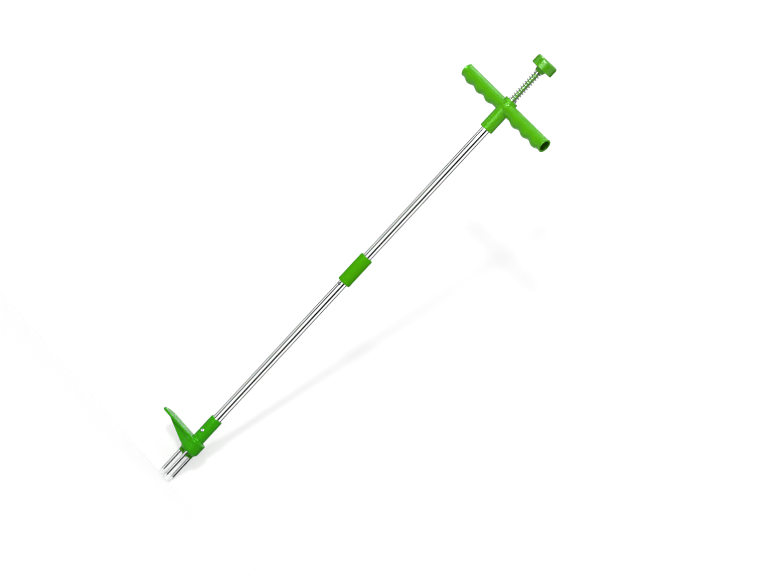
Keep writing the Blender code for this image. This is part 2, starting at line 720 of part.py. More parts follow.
def make_knob_stem():
    """The plastic stem between the knob and the steel rod, with a cross pin through its foot."""
    foot = GUIDE_STEM_END
    top = NECK_BASE + STEM_IN_KNOB
    socket_top = foot + ROD_IN_STEM
    bore = ROD_RADIUS + SEAT
    profile = [(0, top), (STEM_RADIUS - SHARP_EDGE, top), (STEM_RADIUS, top - SHARP_EDGE),
               (STEM_RADIUS, foot), (bore, foot), (bore, socket_top), (0, socket_top)]
    stem = turned("knob_stem", profile, closed=False)
    cut(stem, cross_hole())
    as_part(stem, "knob_stem", handle_green())


def cross_level():
    return GUIDE_STEM_END + ROD_IN_STEM / 2


def cross_hole():
    """Cutter for the pin's hole through the stem and the rod in it."""
    reach = STEM_RADIUS + PAST
    hole = cylinder("pin_hole", PIN_RADIUS + SEAT / 2, -reach, reach, sides=SMALL)
    return radial(hole, 0, cross_level())


def make_stem_pin():
    pin = cylinder("stem_pin", PIN_RADIUS, -STEM_RADIUS, STEM_RADIUS, sides=SMALL)
    as_part(radial(pin, 0, cross_level()), "stem_pin", plain_steel())


def make_rods():
    """The steel push rod in two lengths, and the coupler between them."""
    upper = cylinder("upper_push_rod", ROD_RADIUS, COUPLER_MIDDLE + SEAT,
                     GUIDE_STEM_END + ROD_IN_STEM - SEAT)
    as_part(cut(upper, cross_hole()), "upper_push_rod", plain_steel())

    lower_base = STEM_TOP - ROD_IN_EJECTOR
    lower = cylinder("lower_push_rod", ROD_RADIUS, lower_base, COUPLER_MIDDLE - SEAT)
    tapped = cylinder("tapped_hole", SCREW_RADIUS + SEAT / 2, lower_base - PAST,
                      SCREW_SEAT + SCREW_LENGTH + SEAT, sides=SMALL)
    as_part(cut(lower, tapped), "lower_push_rod", plain_steel())

    coupler = tube("rod_coupler", COUPLER_RADIUS, ROD_RADIUS + SEAT, COUPLER_BASE,
                   COUPLER_BASE + COUPLER_LENGTH)
    as_part(coupler, "rod_coupler", plain_steel())


def make_ejector():
    """The three-armed slider: a block that hugs the tines and a stem that fills the head's pocket."""
    block = slab("ejector", three_armed(EJECTOR_REACH, EJECTOR_ARM_HALF), EJECTOR_BASE, EJECTOR_TOP)
    middle = (EJECTOR_BASE + EJECTOR_TOP) / 2
    join(block, slab("ejector_stem", three_armed(STEM_REACH, STEM_ARM_HALF), middle, STEM_TOP))
    cut(block, *tine_holes(TINE_RADIUS + SLIDE, EJECTOR_BASE - PAST, EJECTOR_TOP + PAST))
    rod_seat = STEM_TOP - ROD_IN_EJECTOR - SEAT
    cut(block,
        cylinder("rod_socket", ROD_RADIUS + SEAT / 2, rod_seat, STEM_TOP + PAST, sides=SMALL),
        cylinder("screw_hole", SCREW_RADIUS + SEAT / 2, EJECTOR_BASE - PAST, rod_seat + PAST,
                 sides=SMALL),
        cylinder("screw_recess", SCREW_HEAD_RADIUS + SEAT, EJECTOR_BASE - PAST,
                 SCREW_SEAT + SEAT, sides=SMALL))
    as_part(block, "ejector", ejector_green())


def make_ejector_screw():
    """The screw up through the ejector into the rod's end."""
    head_base = SCREW_SEAT - SCREW_HEAD
    profile = [(0, SCREW_SEAT + SCREW_LENGTH), (SCREW_RADIUS, SCREW_SEAT + SCREW_LENGTH),
               (SCREW_RADIUS, SCREW_SEAT), (SCREW_HEAD_RADIUS, SCREW_SEAT),
               (SCREW_HEAD_RADIUS, head_base + SHARP_EDGE),
               (SCREW_HEAD_RADIUS - SHARP_EDGE, head_base), (0, head_base)]
    screw = turned("ejector_screw", profile, closed=False, sides=SMALL)
    wide = SCREW_HEAD_RADIUS + PAST
    cut(screw, box("screw_slot", (-wide, -SCREW_SLOT / 2, head_base - PAST),
                   (wide, SCREW_SLOT / 2, head_base + SCREW_HEAD / 2)))
    as_part(screw, "ejector_screw", plain_steel())


def main():
    clear_scene()
    make_tines()
    make_head()
    make_rivet("head_rivet", SOCKET_RADIUS, FRONT, HEAD_RIVET_LEVEL)
    make_tubes()
    make_connector()
    make_snap_button()
    make_rod_guides()
    make_handle()
    make_rivet("handle_rivet", COLLAR_RADIUS, REAR, HANDLE_RIVET_LEVEL)
    make_handle_bush()
    make_washer()
    make_return_spring()
    make_knob()
    make_knob_stem()
    make_stem_pin()
    make_rods()
    make_ejector()
    make_ejector_screw()


main()
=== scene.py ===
"""The looks of the stand-up weeder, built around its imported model.

Every visible piece is a smooth surface worked out with numpy. Turned pieces are profiles carried
round an axis, the spring is a circle carried along a helix, and the moulded pieces (handle, claw
head, push knob, ejector) are smooth blends of simple solids, given as a distance field and meshed
on a fine grid. All sizes are in metres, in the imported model's own frame: +Z runs up the shaft,
the handle bar lies along X, and the pedal points towards -X.
"""
from __future__ import annotations

import json
import logging
import math
from dataclasses import dataclass, field
from enum import Enum
from typing import Callable, Iterable, Sequence

import bpy
import numpy as np
from mathutils import Matrix, Vector


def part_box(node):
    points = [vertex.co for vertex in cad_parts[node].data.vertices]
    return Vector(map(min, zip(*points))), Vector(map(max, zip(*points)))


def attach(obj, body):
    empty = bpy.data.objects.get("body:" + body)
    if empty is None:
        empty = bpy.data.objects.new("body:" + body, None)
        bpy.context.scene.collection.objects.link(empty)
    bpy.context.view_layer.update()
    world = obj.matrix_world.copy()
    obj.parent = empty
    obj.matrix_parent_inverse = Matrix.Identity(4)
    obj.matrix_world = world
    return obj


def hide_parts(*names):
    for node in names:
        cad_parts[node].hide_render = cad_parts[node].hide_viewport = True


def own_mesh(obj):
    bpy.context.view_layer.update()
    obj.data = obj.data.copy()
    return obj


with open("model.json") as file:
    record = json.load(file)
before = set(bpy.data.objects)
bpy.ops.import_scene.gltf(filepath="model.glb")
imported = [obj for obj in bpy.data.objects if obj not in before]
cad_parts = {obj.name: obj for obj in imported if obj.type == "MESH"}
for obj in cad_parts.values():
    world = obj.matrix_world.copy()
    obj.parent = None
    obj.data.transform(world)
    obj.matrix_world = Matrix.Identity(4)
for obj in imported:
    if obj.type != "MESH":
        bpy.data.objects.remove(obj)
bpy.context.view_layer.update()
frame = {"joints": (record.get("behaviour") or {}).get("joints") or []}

LOG = logging.getLogger("stand_up_weeder")
MM = 0.001
TINE_ANGLES = (180.0, 60.0, -60.0)  # degrees about Z
PLAY = 0.3 * MM  # between a piece and the bore that it sits or slides in
TUBE_SOCKET = 8.3 * MM  # radius of the bores that take the tubes
RIVET_HOLE = 2.15 * MM  # radius of the holes that take the rivets
FINE_EDGE = 0.4 * MM  # radius of the edges of small bores
BAR_BELOW_TOP = 16.6 * MM  # the handle bar's axis, below the top of its boss
BAR_BORE = 9.5 * MM  # radius of the bar's two bores
BAR_CORE_HALF = 14.0 * MM  # the bores start this far from the shaft's axis

Field = Callable[[np.ndarray], np.ndarray]


class Body(str, Enum):
    """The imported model's moving bodies."""

    TOOL = "tool"
    PLUNGER = "plunger"
    SNAP_LOCK = "snap_lock"


class Side(Enum):
    """The two sides of the shaft that small fittings are on, as directions in degrees about Z."""

    FRONT = -90.0
    REAR = 90.0


# ---------------------------------------------------------------- surfaces


@dataclass
class Surface:
    """A mesh held as plain arrays until it becomes an object."""

    points: np.ndarray
    quads: np.ndarray
    triangles: np.ndarray = field(default_factory=lambda: np.zeros((0, 3), int))

    def moved(self, matrix: np.ndarray) -> Surface:
        """Return the surface with a 4 by 4 matrix applied to its points.

        Args:
            matrix: A rotation and a shift, with no mirroring.

        Returns:
            The moved surface.
        """
        points = self.points @ matrix[:3, :3].T + matrix[:3, 3]
        return Surface(points, self.quads, self.triangles)

    def to_object(self, name: str, smooth_angle: float = 40.0) -> bpy.types.Object:
        """Write the arrays into a mesh and return its object, which sits at the origin.

        Args:
            name: The piece's name.
            smooth_angle: Edges sharper than this many degrees stay crisp.

        Returns:
            The new object, linked to the scene.
        """
        mesh = bpy.data.meshes.new(name)
        corners = np.concatenate([self.quads.ravel(), self.triangles.ravel()]).astype(np.int32)
        sizes = np.concatenate([np.full(len(self.quads), 4), np.full(len(self.triangles), 3)])
        starts = np.concatenate([[0], np.cumsum(sizes)[:-1]]).astype(np.int32)
        mesh.vertices.add(len(self.points))
        mesh.vertices.foreach_set("co", self.points.astype(np.float32).ravel())
        mesh.loops.add(len(corners))
        mesh.loops.foreach_set("vertex_index", corners)
        mesh.polygons.add(len(sizes))
        mesh.polygons.foreach_set("loop_start", starts)
        mesh.update(calc_edges=True)
        mesh.validate()
        mesh.shade_smooth()
        if smooth_angle < 180:
            mesh.set_sharp_from_angle(angle=math.radians(smooth_angle))
        piece = bpy.data.objects.new(name, mesh)
        bpy.context.scene.collection.objects.link(piece)
        return piece


def rounded_outline(corners: Sequence[tuple[float, float, float]], steps: int = 6) -> np.ndarray:
    """Replace each corner of an open outline with an arc.

    A corner of radius q between two sides that turn by the angle a starts and ends q * tan(a / 2)
    away from the corner point, and its arc is read as a quadratic blend between those two points
    through the corner, which stays within a hundredth of q of a true arc for the small radii here.

    Args:
        corners: Points as (radius from the axis, height, corner radius). The ends aren't rounded.
        steps: Number of steps in each arc.

    Returns:
        The outline's points as an array of (radius, height).
    """
    given = np.array(corners, float)
    points = [given[0, :2]]
    blend = np.linspace(0, 1, steps + 1)[:, None]
    for before, corner, after in zip(given[:-2], given[1:-1], given[2:]):
        into, out = before[:2] - corner[:2], after[:2] - corner[:2]
        lengths = np.linalg.norm(into), np.linalg.norm(out)
        turn = math.pi - math.acos(np.clip(into @ out / (lengths[0] * lengths[1]), -1, 1))
        reach = min(corner[2] * math.tan(turn / 2), 0.49 * min(lengths))
        if reach < 1e-7:
            points.append(corner[:2])
            continue
        start = corner[:2] + into / lengths[0] * reach
        end = corner[:2] + out / lengths[1] * reach
        arc = start * (1 - blend) ** 2 + corner[:2] * 2 * blend * (1 - blend) + end * blend**2
        points.extend(arc)
    points.append(given[-1, :2])
    return np.array(points)


def revolved(profile: np.ndarray, sides: int = 96, ring: bool = False) -> Surface:
    """Carry a profile round the Z axis.

    The point at profile place i and turn j is (r * cos t, r * sin t, h), with t = 2 pi j / sides.
    The profile runs down its outer side, so that faces point out.

    Args:
        profile: Array of (radius, height). A point at radius 0 becomes a pole.
        sides: Number of steps round the axis.
        ring: True if the profile's end joins its start, as in a tube.

    Returns:
        The closed surface.
    """
    poles = [] if ring else [i for i in (0, len(profile) - 1) if profile[i, 0] < 1e-9]
    body = profile[[i for i in range(len(profile)) if i not in poles]]
    turn = np.linspace(0, 2 * math.pi, sides, endpoint=False)
    radius, height = body[:, 0][:, None], body[:, 1][:, None]
    points = np.stack(
        [radius * np.cos(turn), radius * np.sin(turn), height + 0 * turn], axis=-1
    ).reshape(-1, 3)
    rows = len(body)
    here = np.arange(rows if ring else rows - 1)[:, None]
    below = (here + 1) % rows
    along = np.arange(sides)[None, :]
    beside = (along + 1) % sides
    quads = np.stack(
        [below * sides + along, below * sides + beside,
         here * sides + beside, here * sides + along],
        axis=-1,
    ).reshape(-1, 4)
    triangles = []
    steps = np.arange(sides)
    after = (steps + 1) % sides
    for pole in poles:
        centre = np.full(sides, len(points))
        points = np.vstack([points, [0.0, 0.0, profile[pole, 1]]])
        if pole == 0:
            triangles.append(np.stack([centre, steps, after], axis=-1))
        else:
            last = (rows - 1) * sides
            triangles.append(np.stack([centre, last + after, last + steps], axis=-1))
    faces = np.vstack(triangles) if triangles else np.zeros((0, 3), int)
    return Surface(points, quads, faces)


def tube_surface(
    outer: float, inner: float, base: float, top: float, edge: float, sides: int = 96
) -> Surface:
    """A tube with rounded rims, as a ring-shaped profile carried round Z."""
    middle = (outer + inner) / 2
    corners = [
        (middle, top, 0), (outer, top, edge), (outer, base, edge),
        (inner, base, edge), (inner, top, edge), (middle, top, 0),
    ]
    return revolved(rounded_outline(corners)[:-1], sides, ring=True)


def rod_surface(radius: float, base: float, top: float, edge: float, sides: int = 64) -> Surface:
    """A solid round bar with rounded ends, standing on Z."""
    corners = [(0, top, 0), (radius, top, edge), (radius, base, edge), (0, base, 0)]
    return revolved(rounded_outline(corners), sides)


def radial_matrix(degrees: float, level: float) -> np.ndarray:
    """Matrix that lays a piece turned about Z out along a radius of the shaft.

    Args:
        degrees: Direction of the radius about Z.
        level: Height on the shaft.

    Returns:
        A right-handed 4 by 4 matrix. Local +Z becomes the direction away from the shaft.
    """
    angle = math.radians(degrees)
    outward = np.array([math.cos(angle), math.sin(angle), 0.0])
    up = np.array([0.0, 0.0, 1.0])
    matrix = np.eye(4)
    matrix[:3, 0] = np.cross(up, outward)
    matrix[:3, 1] = up
    matrix[:3, 2] = outward
    matrix[:3, 3] = (0, 0, level)
    return matrix


def coil_surface(
    radius: float, wire: float, heights: Callable[[np.ndarray], np.ndarray], turns: float,
    per_turn: int = 56, sides: int = 14,
) -> Surface:
    """Carry a circle of the wire's radius along a helix, and close its two ends.

    The wire's middle is at (R cos a, R sin a, h(turn)). Round it, each point is offset by the
    wire's radius in the plane of the outward direction and of the tangent's cross product with it.

    Args:
        radius: Radius of the helix, to the wire's middle.
        wire: Radius of the wire.
        heights: Height of the wire's middle as a function of the turn number.
        turns: Number of turns.
        per_turn: Steps along one turn.
        sides: Steps round the wire.

    Returns:
        The closed surface.
    """
    turn = np.linspace(0, turns, int(turns * per_turn) + 1)
    angle = 2 * math.pi * turn
    middle = np.stack([radius * np.cos(angle), radius * np.sin(angle), heights(turn)], axis=-1)
    tangent = np.gradient(middle, axis=0)
    tangent /= np.linalg.norm(tangent, axis=1)[:, None]
    outward = np.stack([np.cos(angle), np.sin(angle), 0 * angle], axis=-1)
    across = np.cross(tangent, outward)
    around = np.linspace(0, 2 * math.pi, sides, endpoint=False)
    offset = (np.cos(around)[None, :, None] * outward[:, None, :]
              + np.sin(around)[None, :, None] * across[:, None, :]) * wire
    points = (middle[:, None, :] + offset).reshape(-1, 3)
    here = np.arange(len(turn) - 1)[:, None] * sides
    along = np.arange(sides)[None, :]
    beside = (along + 1) % sides
    quads = np.stack(
        [here + along, here + sides + along, here + sides + beside, here + beside], axis=-1
    ).reshape(-1, 4)
    steps = np.arange(sides)
    after = (steps + 1) % sides
    last = (len(turn) - 1) * sides
    caps = np.vstack([
        np.stack([np.full(sides, len(points)), steps, after], axis=-1),
        np.stack([np.full(sides, len(points) + 1), last + after, last + steps], axis=-1),
    ])
    points = np.vstack([points, middle[0], middle[-1]])
    return Surface(points, quads[:, ::-1], caps[:, ::-1])


# ---------------------------------------------------------------- distance fields


def radius_of(points: np.ndarray) -> np.ndarray:
    """Distance of each point from the Z axis."""
    return np.hypot(points[:, 0], points[:, 1])


def corner_distance(first: np.ndarray, second: np.ndarray, edge: float) -> np.ndarray:
    """Distance to the meeting of two faces whose shared edge has a radius.

    With a and b the two faces' distances plus the radius, it is min(max(a, b), 0) plus the length
    of (max(a, 0), max(b, 0)), less the radius.

    Args:
        first: Distance to the first face, negative inside.
        second: Distance to the second face, negative inside.
        edge: Radius of the edge between them.

    Returns:
        The joint distance.
    """
    a, b = first + edge, second + edge
    outside = np.hypot(np.maximum(a, 0), np.maximum(b, 0))
    return np.minimum(np.maximum(a, b), 0) + outside - edge


def standing(radius: np.ndarray | float, points: np.ndarray, base: float, top: float,
             edge: float) -> np.ndarray:
    """Distance to a round bar that stands on Z between two levels, with rounded rims."""
    side = radius_of(points) - radius
    ends = np.abs(points[:, 2] - (base + top) / 2) - (top - base) / 2
    return corner_distance(side, ends, edge)


def merged(first: np.ndarray, second: np.ndarray, fillet: float) -> np.ndarray:
    """Join two solids with a soft fillet where they meet.

    The two distances mix by h = 0.5 + 0.5 (second - first) / fillet, held between 0 and 1, and
    fillet * h * (1 - h) is taken off.
    """
    h = np.clip(0.5 + 0.5 * (second - first) / fillet, 0, 1)
    return second * (1 - h) + first * h - fillet * h * (1 - h)


def carved(solid: np.ndarray, tool: np.ndarray, edge: float) -> np.ndarray:
    """Cut a tool out of a solid and soften the edge that the cut leaves."""
    return -merged(-solid, tool, edge)


def bounded(first: np.ndarray, second: np.ndarray, edge: float) -> np.ndarray:
    """Keep only what lies in both solids, with a softened edge."""
    return -merged(-first, -second, edge)


def wall_distance(points: np.ndarray, start: tuple[float, float], end: tuple[float, float],
                  half_width: float) -> np.ndarray:
    """Distance in plan to an upright wall with round ends, along a line between two points."""
    a, b = np.array(start), np.array(end)
    run = b - a
    place = np.clip((points[:, :2] - a) @ run / (run @ run), 0, 1)
    return np.linalg.norm(points[:, :2] - a - place[:, None] * run, axis=1) - half_width


def arms_distance(points: np.ndarray, reach: float, half_width: float, edge: float) -> np.ndarray:
    """Distance in plan to a three-armed star with an arm towards each tine.

    Along one arm's own axes (u out, v across) an arm is the box u < reach, |v| < half_width.
    """
    best = np.full(len(points), np.inf)
    for degrees in TINE_ANGLES:
        angle = math.radians(degrees)
        out = points[:, 0] * math.cos(angle) + points[:, 1] * math.sin(angle)
        across = points[:, 1] * math.cos(angle) - points[:, 0] * math.sin(angle)
        middle = np.abs(out - reach / 2) - reach / 2
        arm = corner_distance(middle, np.abs(across) - half_width, edge)
        best = np.minimum(best, arm)
    return best


def upright(plan: np.ndarray, points: np.ndarray, base: float, top: float,
            edge: float) -> np.ndarray:
    """Raise a plan distance to a solid between two levels, with rounded rims."""
    ends = np.abs(points[:, 2] - (base + top) / 2) - (top - base) / 2
    return corner_distance(plan, ends, edge)


def radial_hole(points: np.ndarray, side: Side, level: float, radius: float) -> np.ndarray:
    """Distance to an endless hole that runs out from the shaft on one side."""
    direction = math.copysign(1.0, side.value)
    reach = np.hypot(points[:, 0], points[:, 2] - level) - radius
    return np.maximum(reach, -direction * points[:, 1])


class FieldMesher:
    """Meshes a distance field: one vertex in each grid cell that the surface passes through.

    A cell's vertex is the mean of the places where the field changes sign along the cell's edges.
    Each grid edge that the surface crosses gives one quad, between the four cells round it. The
    vertices are then evened out and moved down the field's gradient until they lie on the surface.
    """

    QUICK_COARSER = 1.7
    ROUNDS = 2
    STEPS_DOWN = 3
    NUDGE = 0.02 * MM

    def __init__(self, step: float) -> None:
        self.step = step * 1.0

    def mesh(self, distance: Field, low: Sequence[float], high: Sequence[float]) -> Surface:
        """Mesh the field inside a box.

        Args:
            distance: Field that is negative inside the solid.
            low: The box's lowest corner.
            high: The box's highest corner.

        Returns:
            The closed surface, as quads.
        """
        axes = [np.arange(a - 2.37 * self.step, b + 2.6 * self.step, self.step)
                for a, b in zip(low, high)]
        shape = tuple(len(axis) for axis in axes)
        values = np.empty(shape)
        flat = np.stack(np.meshgrid(axes[1], axes[2], indexing="ij"), axis=-1).reshape(-1, 2)
        for i, x in enumerate(axes[0]):
            layer = np.column_stack([np.full(len(flat), x), flat])
            values[i] = distance(layer).reshape(shape[1:])
        points, numbers = self._cell_points(values, axes)
        quads = self._quads(values < 0, numbers)
        for _ in range(self.ROUNDS):
            points = self._evened(points, quads)
            points = self._settled(points, distance)
        return Surface(self._settled(points, distance), quads)

    @staticmethod
    def _cell_points(values: np.ndarray,
                     axes: Sequence[np.ndarray]) -> tuple[np.ndarray, np.ndarray]:
        """Return one point for each crossed cell, and each cell's number, -1 where it has none."""
        corners = [np.array(c) for c in np.ndindex(2, 2, 2)]
        cells = tuple(size - 1 for size in values.shape)

        def at(corner: np.ndarray) -> np.ndarray:
            """Values at one corner of every cell."""
            return values[tuple(slice(c, c + n) for c, n in zip(corner, cells))]

        total = np.zeros(cells + (3,))
        count = np.zeros(cells)
        for i, first in enumerate(corners):
            for second in corners[i + 1:]:
                if np.abs(second - first).sum() != 1:
                    continue
                a, b = at(first), at(second)
                crossed = (a < 0) != (b < 0)
                share = np.where(crossed, a / np.where(crossed, a - b, 1.0), 0.0)
                place = first + share[..., None] * (second - first)
                total += np.where(crossed[..., None], place, 0.0)
                count += crossed
        used = count > 0
        origin = np.stack(np.nonzero(used), axis=-1)
        start = np.array([axis[0] for axis in axes])
        step = axes[0][1] - axes[0][0]
        points = start + step * (origin + total[used] / count[used][:, None])
        numbers = np.full(cells, -1)
        numbers[used] = np.arange(len(points))
        return points, numbers

    @staticmethod
    def _quads(inside: np.ndarray, numbers: np.ndarray) -> np.ndarray:
        """Return a quad for each crossed grid edge, with its corners in outward order."""
        found = []
        for axis in range(3):
            u, v = (axis + 1) % 3, (axis + 2) % 3
            lower = np.take(inside, range(inside.shape[axis] - 1), axis)
            upper = np.take(inside, range(1, inside.shape[axis]), axis)
            places = np.stack(np.nonzero(lower != upper), axis=-1)
            places = places[np.all(places[:, [u, v]] > 0, axis=1)]
            rising = lower[tuple(places.T)]
            corners = []
            for du, dv in ((1, 1), (0, 1), (0, 0), (1, 0)):
                cell = places.copy()
                cell[:, u] -= du
                cell[:, v] -= dv
                corners.append(numbers[tuple(cell.T)])
            quad = np.stack(corners, axis=-1)
            found.append(np.where(rising[:, None], quad, quad[:, ::-1]))
        return np.vstack(found)

    @staticmethod
    def _evened(points: np.ndarray, quads: np.ndarray) -> np.ndarray:
        """Move each vertex half-way to the mean of its neighbours."""
        total = np.zeros_like(points)
        count = np.zeros(len(points))
        for a, b in ((0, 1), (1, 2), (2, 3), (3, 0)):
            np.add.at(total, quads[:, a], points[quads[:, b]])
            np.add.at(total, quads[:, b], points[quads[:, a]])
            np.add.at(count, quads[:, a], 1)
            np.add.at(count, quads[:, b], 1)
        return points + 0.5 * (total / count[:, None] - points)

    def _settled(self, points: np.ndarray, distance: Field) -> np.ndarray:
        """Step each vertex down the gradient: p - f(p) * g / |g|^2, at most half a grid step."""
        nudge = self.NUDGE
        for _ in range(self.STEPS_DOWN):
            gradient = np.empty_like(points)
            for axis in range(3):
                shift = np.zeros(3)
                shift[axis] = nudge
                gradient[:, axis] = distance(points + shift) - distance(points - shift)
            gradient /= 2 * nudge
            size = np.maximum((gradient**2).sum(axis=1), 0.05)
            move = -(distance(points) / size)[:, None] * gradient
            length = np.maximum(np.linalg.norm(move, axis=1), 1e-12)
            points = points + move * np.minimum(1, 0.5 * self.step / length)[:, None]
        return points


# ---------------------------------------------------------------- shader building


class NodeSheet:
    """Short ways to place and link shader nodes in one tree."""

    def __init__(self, tree: bpy.types.NodeTree) -> None:
        """Remember the tree that nodes are added to."""
        self.tree = tree

    def add(self, kind: str, inputs: dict[int | str, object] | None = None,
            **settings: object) -> bpy.types.Node:
        """Add a node, set its properties, and feed its inputs.

        Args:
            kind: The node's Blender type name, without the ShaderNode prefix.
            inputs: Socket name or number to a value or to another node's output.
            settings: Node properties.

        Returns:
            The node.
        """
        node = self.tree.nodes.new("ShaderNode" + kind)
        for name, value in settings.items():
            setattr(node, name, value)
        for socket, value in (inputs or {}).items():
            self.feed(node.inputs[socket], value)
        return node

    def feed(self, socket: bpy.types.NodeSocket, value: object) -> None:
        """Link an output to a socket, or set the socket's own value."""
        if isinstance(value, bpy.types.NodeSocket):
            self.tree.links.new(value, socket)
        else:
            socket.default_value = value

    def math(self, operation: str, *values: object) -> bpy.types.NodeSocket:
        """Add a Math node and return its result."""
        return self.add("Math", dict(enumerate(values)), operation=operation).outputs[0]

    def spread(self, value: object, low: float, high: float, to_low: float = 0.0,
               to_high: float = 1.0) -> bpy.types.NodeSocket:
        """Map a range of values smoothly to another range."""
        node = self.add(
            "MapRange",
            {"Value": value, "From Min": low, "From Max": high, "To Min": to_low,
             "To Max": to_high},
            interpolation_type="SMOOTHSTEP",
        )
        return node.outputs["Result"]

    def noise(self, vector: bpy.types.NodeSocket, scale: float | bpy.types.NodeSocket,
              detail: float = 2.0, roughness: float = 0.5) -> bpy.types.NodeSocket:
        """Add a Noise Texture and return its value."""
        node = self.add("TexNoise", {"Vector": vector, "Scale": scale, "Detail": detail,
                                     "Roughness": roughness})
        return node.outputs["Fac"]


class ShaderGroup:
    """A node group with named inputs and outputs, built once and placed in many materials."""

    title = ""
    sockets_in: dict[str, float] = {}
    sockets_out: tuple[str, ...] = ()

    def tree(self) -> bpy.types.NodeTree:
        """Return the group's tree, and build it at its first use."""
        known = bpy.data.node_groups.get(self.title)
        if known:
            return known
        tree = bpy.data.node_groups.new(self.title, "ShaderNodeTree")
        for name, value in self.sockets_in.items():
            socket = tree.interface.new_socket(name, in_out="INPUT", socket_type="NodeSocketFloat")
            socket.default_value = value
        for name in self.sockets_out:
            tree.interface.new_socket(name, in_out="OUTPUT", socket_type="NodeSocketFloat")
        sheet = NodeSheet(tree)
        given = tree.nodes.new("NodeGroupInput")
        result = tree.nodes.new("NodeGroupOutput")
        for name, socket in self.build(sheet, given).items():
            tree.links.new(socket, result.inputs[name])
        return tree

    def build(self, sheet: NodeSheet,
              given: bpy.types.Node) -> dict[str, bpy.types.NodeSocket]:
        """Place the group's nodes and return its outputs by name."""
        raise NotImplementedError

    def place(self, sheet: NodeSheet, **values: float) -> bpy.types.Node:
        """Place the group in a material.

        Args:
            sheet: The material's nodes.
            values: Input values, with underscores for spaces.

        Returns:
            The group node.
        """
        node = sheet.tree.nodes.new("ShaderNodeGroup")
        node.node_tree = self.tree()
        for name, value in values.items():
            node.inputs[name.replace("_", " ").title()].default_value = value
        return node


class MouldingGrain(ShaderGroup):
    """The skin of a moulding: fine pebble, slow flow marks, and the parting line of the mould."""

    title = "moulding_grain"
    sockets_in = {"Pebble Size": 0.45, "Pebble": 1.0, "Flow": 1.0, "Parting Line": 0.0}
    sockets_out = ("Height", "Shade", "Gloss Loss")
    flow_scale = 38.0
    blotch_scale = 140.0
    line_half_width = (0.10 * MM, 0.28 * MM)
    pebble_height = 0.35
    line_height = 1.2
    flow_shade = 0.9

    def build(self, sheet: NodeSheet,
              given: bpy.types.Node) -> dict[str, bpy.types.NodeSocket]:
        """Mix two noises for the skin, and a thin raised line where Y is 0 for the parting."""
        place = sheet.add("TexCoord").outputs["Object"]
        scale = sheet.math("DIVIDE", 1 / MM, given.outputs["Pebble Size"])
        fine = sheet.noise(place, scale, 1.0)
        flow = sheet.noise(place, self.flow_scale, 3.0, 0.55)
        blotch = sheet.noise(place, self.blotch_scale)
        across = sheet.add("SeparateXYZ", {"Vector": place}).outputs["Y"]
        line = sheet.spread(sheet.math("ABSOLUTE", across), *self.line_half_width, 1.0, 0.0)
        line = sheet.math("MULTIPLY", line, given.outputs["Parting Line"])
        pebble = sheet.math("MULTIPLY", fine, given.outputs["Pebble"])
        slow = sheet.math("MULTIPLY", sheet.math("SUBTRACT", flow, 0.5), given.outputs["Flow"])
        height = sheet.math("ADD", sheet.math("MULTIPLY", pebble, self.pebble_height),
                            sheet.math("MULTIPLY", line, self.line_height))
        shade = sheet.math("ADD", 0.5, sheet.math("MULTIPLY", slow, self.flow_shade))
        patch = sheet.spread(blotch, 0.42, 0.68)
        return {"Height": height, "Shade": shade, "Gloss Loss": patch}


class HandlingMarks(ShaderGroup):
    """Fine hairline scratches and smudges of a surface that hands and soil have touched."""

    title = "handling_marks"
    sockets_in = {"Hairlines": 1.0, "Smudges": 1.0, "Stretch": 12.0}
    sockets_out = ("Scratch", "Smudge")
    hair_scale = 2600.0
    smear_scale = 55.0

    def build(self, sheet: NodeSheet,
              given: bpy.types.Node) -> dict[str, bpy.types.NodeSocket]:
        """Read a noise stretched along the shaft for hairlines, and a slow one for smudges."""
        place = sheet.add("TexCoord").outputs["Object"]
        shrink = sheet.math("DIVIDE", 1.0, given.outputs["Stretch"])
        squeeze = sheet.add("CombineXYZ", {"X": 1.0, "Y": 1.0, "Z": shrink})
        stretched = sheet.add("VectorMath", {0: place, 1: squeeze.outputs[0]},
                              operation="MULTIPLY").outputs[0]
        hair = sheet.noise(stretched, self.hair_scale, 2.0, 0.6)
        fine = sheet.spread(hair, 0.60, 0.74)
        smear = sheet.spread(sheet.noise(place, self.smear_scale, 4.0, 0.6), 0.48, 0.70)
        return {
            "Scratch": sheet.math("MULTIPLY", fine, given.outputs["Hairlines"]),
            "Smudge": sheet.math("MULTIPLY", smear, given.outputs["Smudges"]),
        }


@dataclass(frozen=True)
class Finish:
    """What every finish shares: a material of its own name."""

    name: str

    def material(self) -> bpy.types.Material:
        """Return the finish's material, and make it at its first use."""
        known = bpy.data.materials.get(self.name)
        if known:
            return known
        material = bpy.data.materials.new(self.name)
        material.use_nodes = True
        sheet = NodeSheet(material.node_tree)
        shader = material.node_tree.nodes["Principled BSDF"]
        self.dress(sheet, shader)
        return material

    def dress(self, sheet: NodeSheet, shader: bpy.types.Node) -> None:
        """Set the shader's own values and link what changes over the surface."""
        raise NotImplementedError


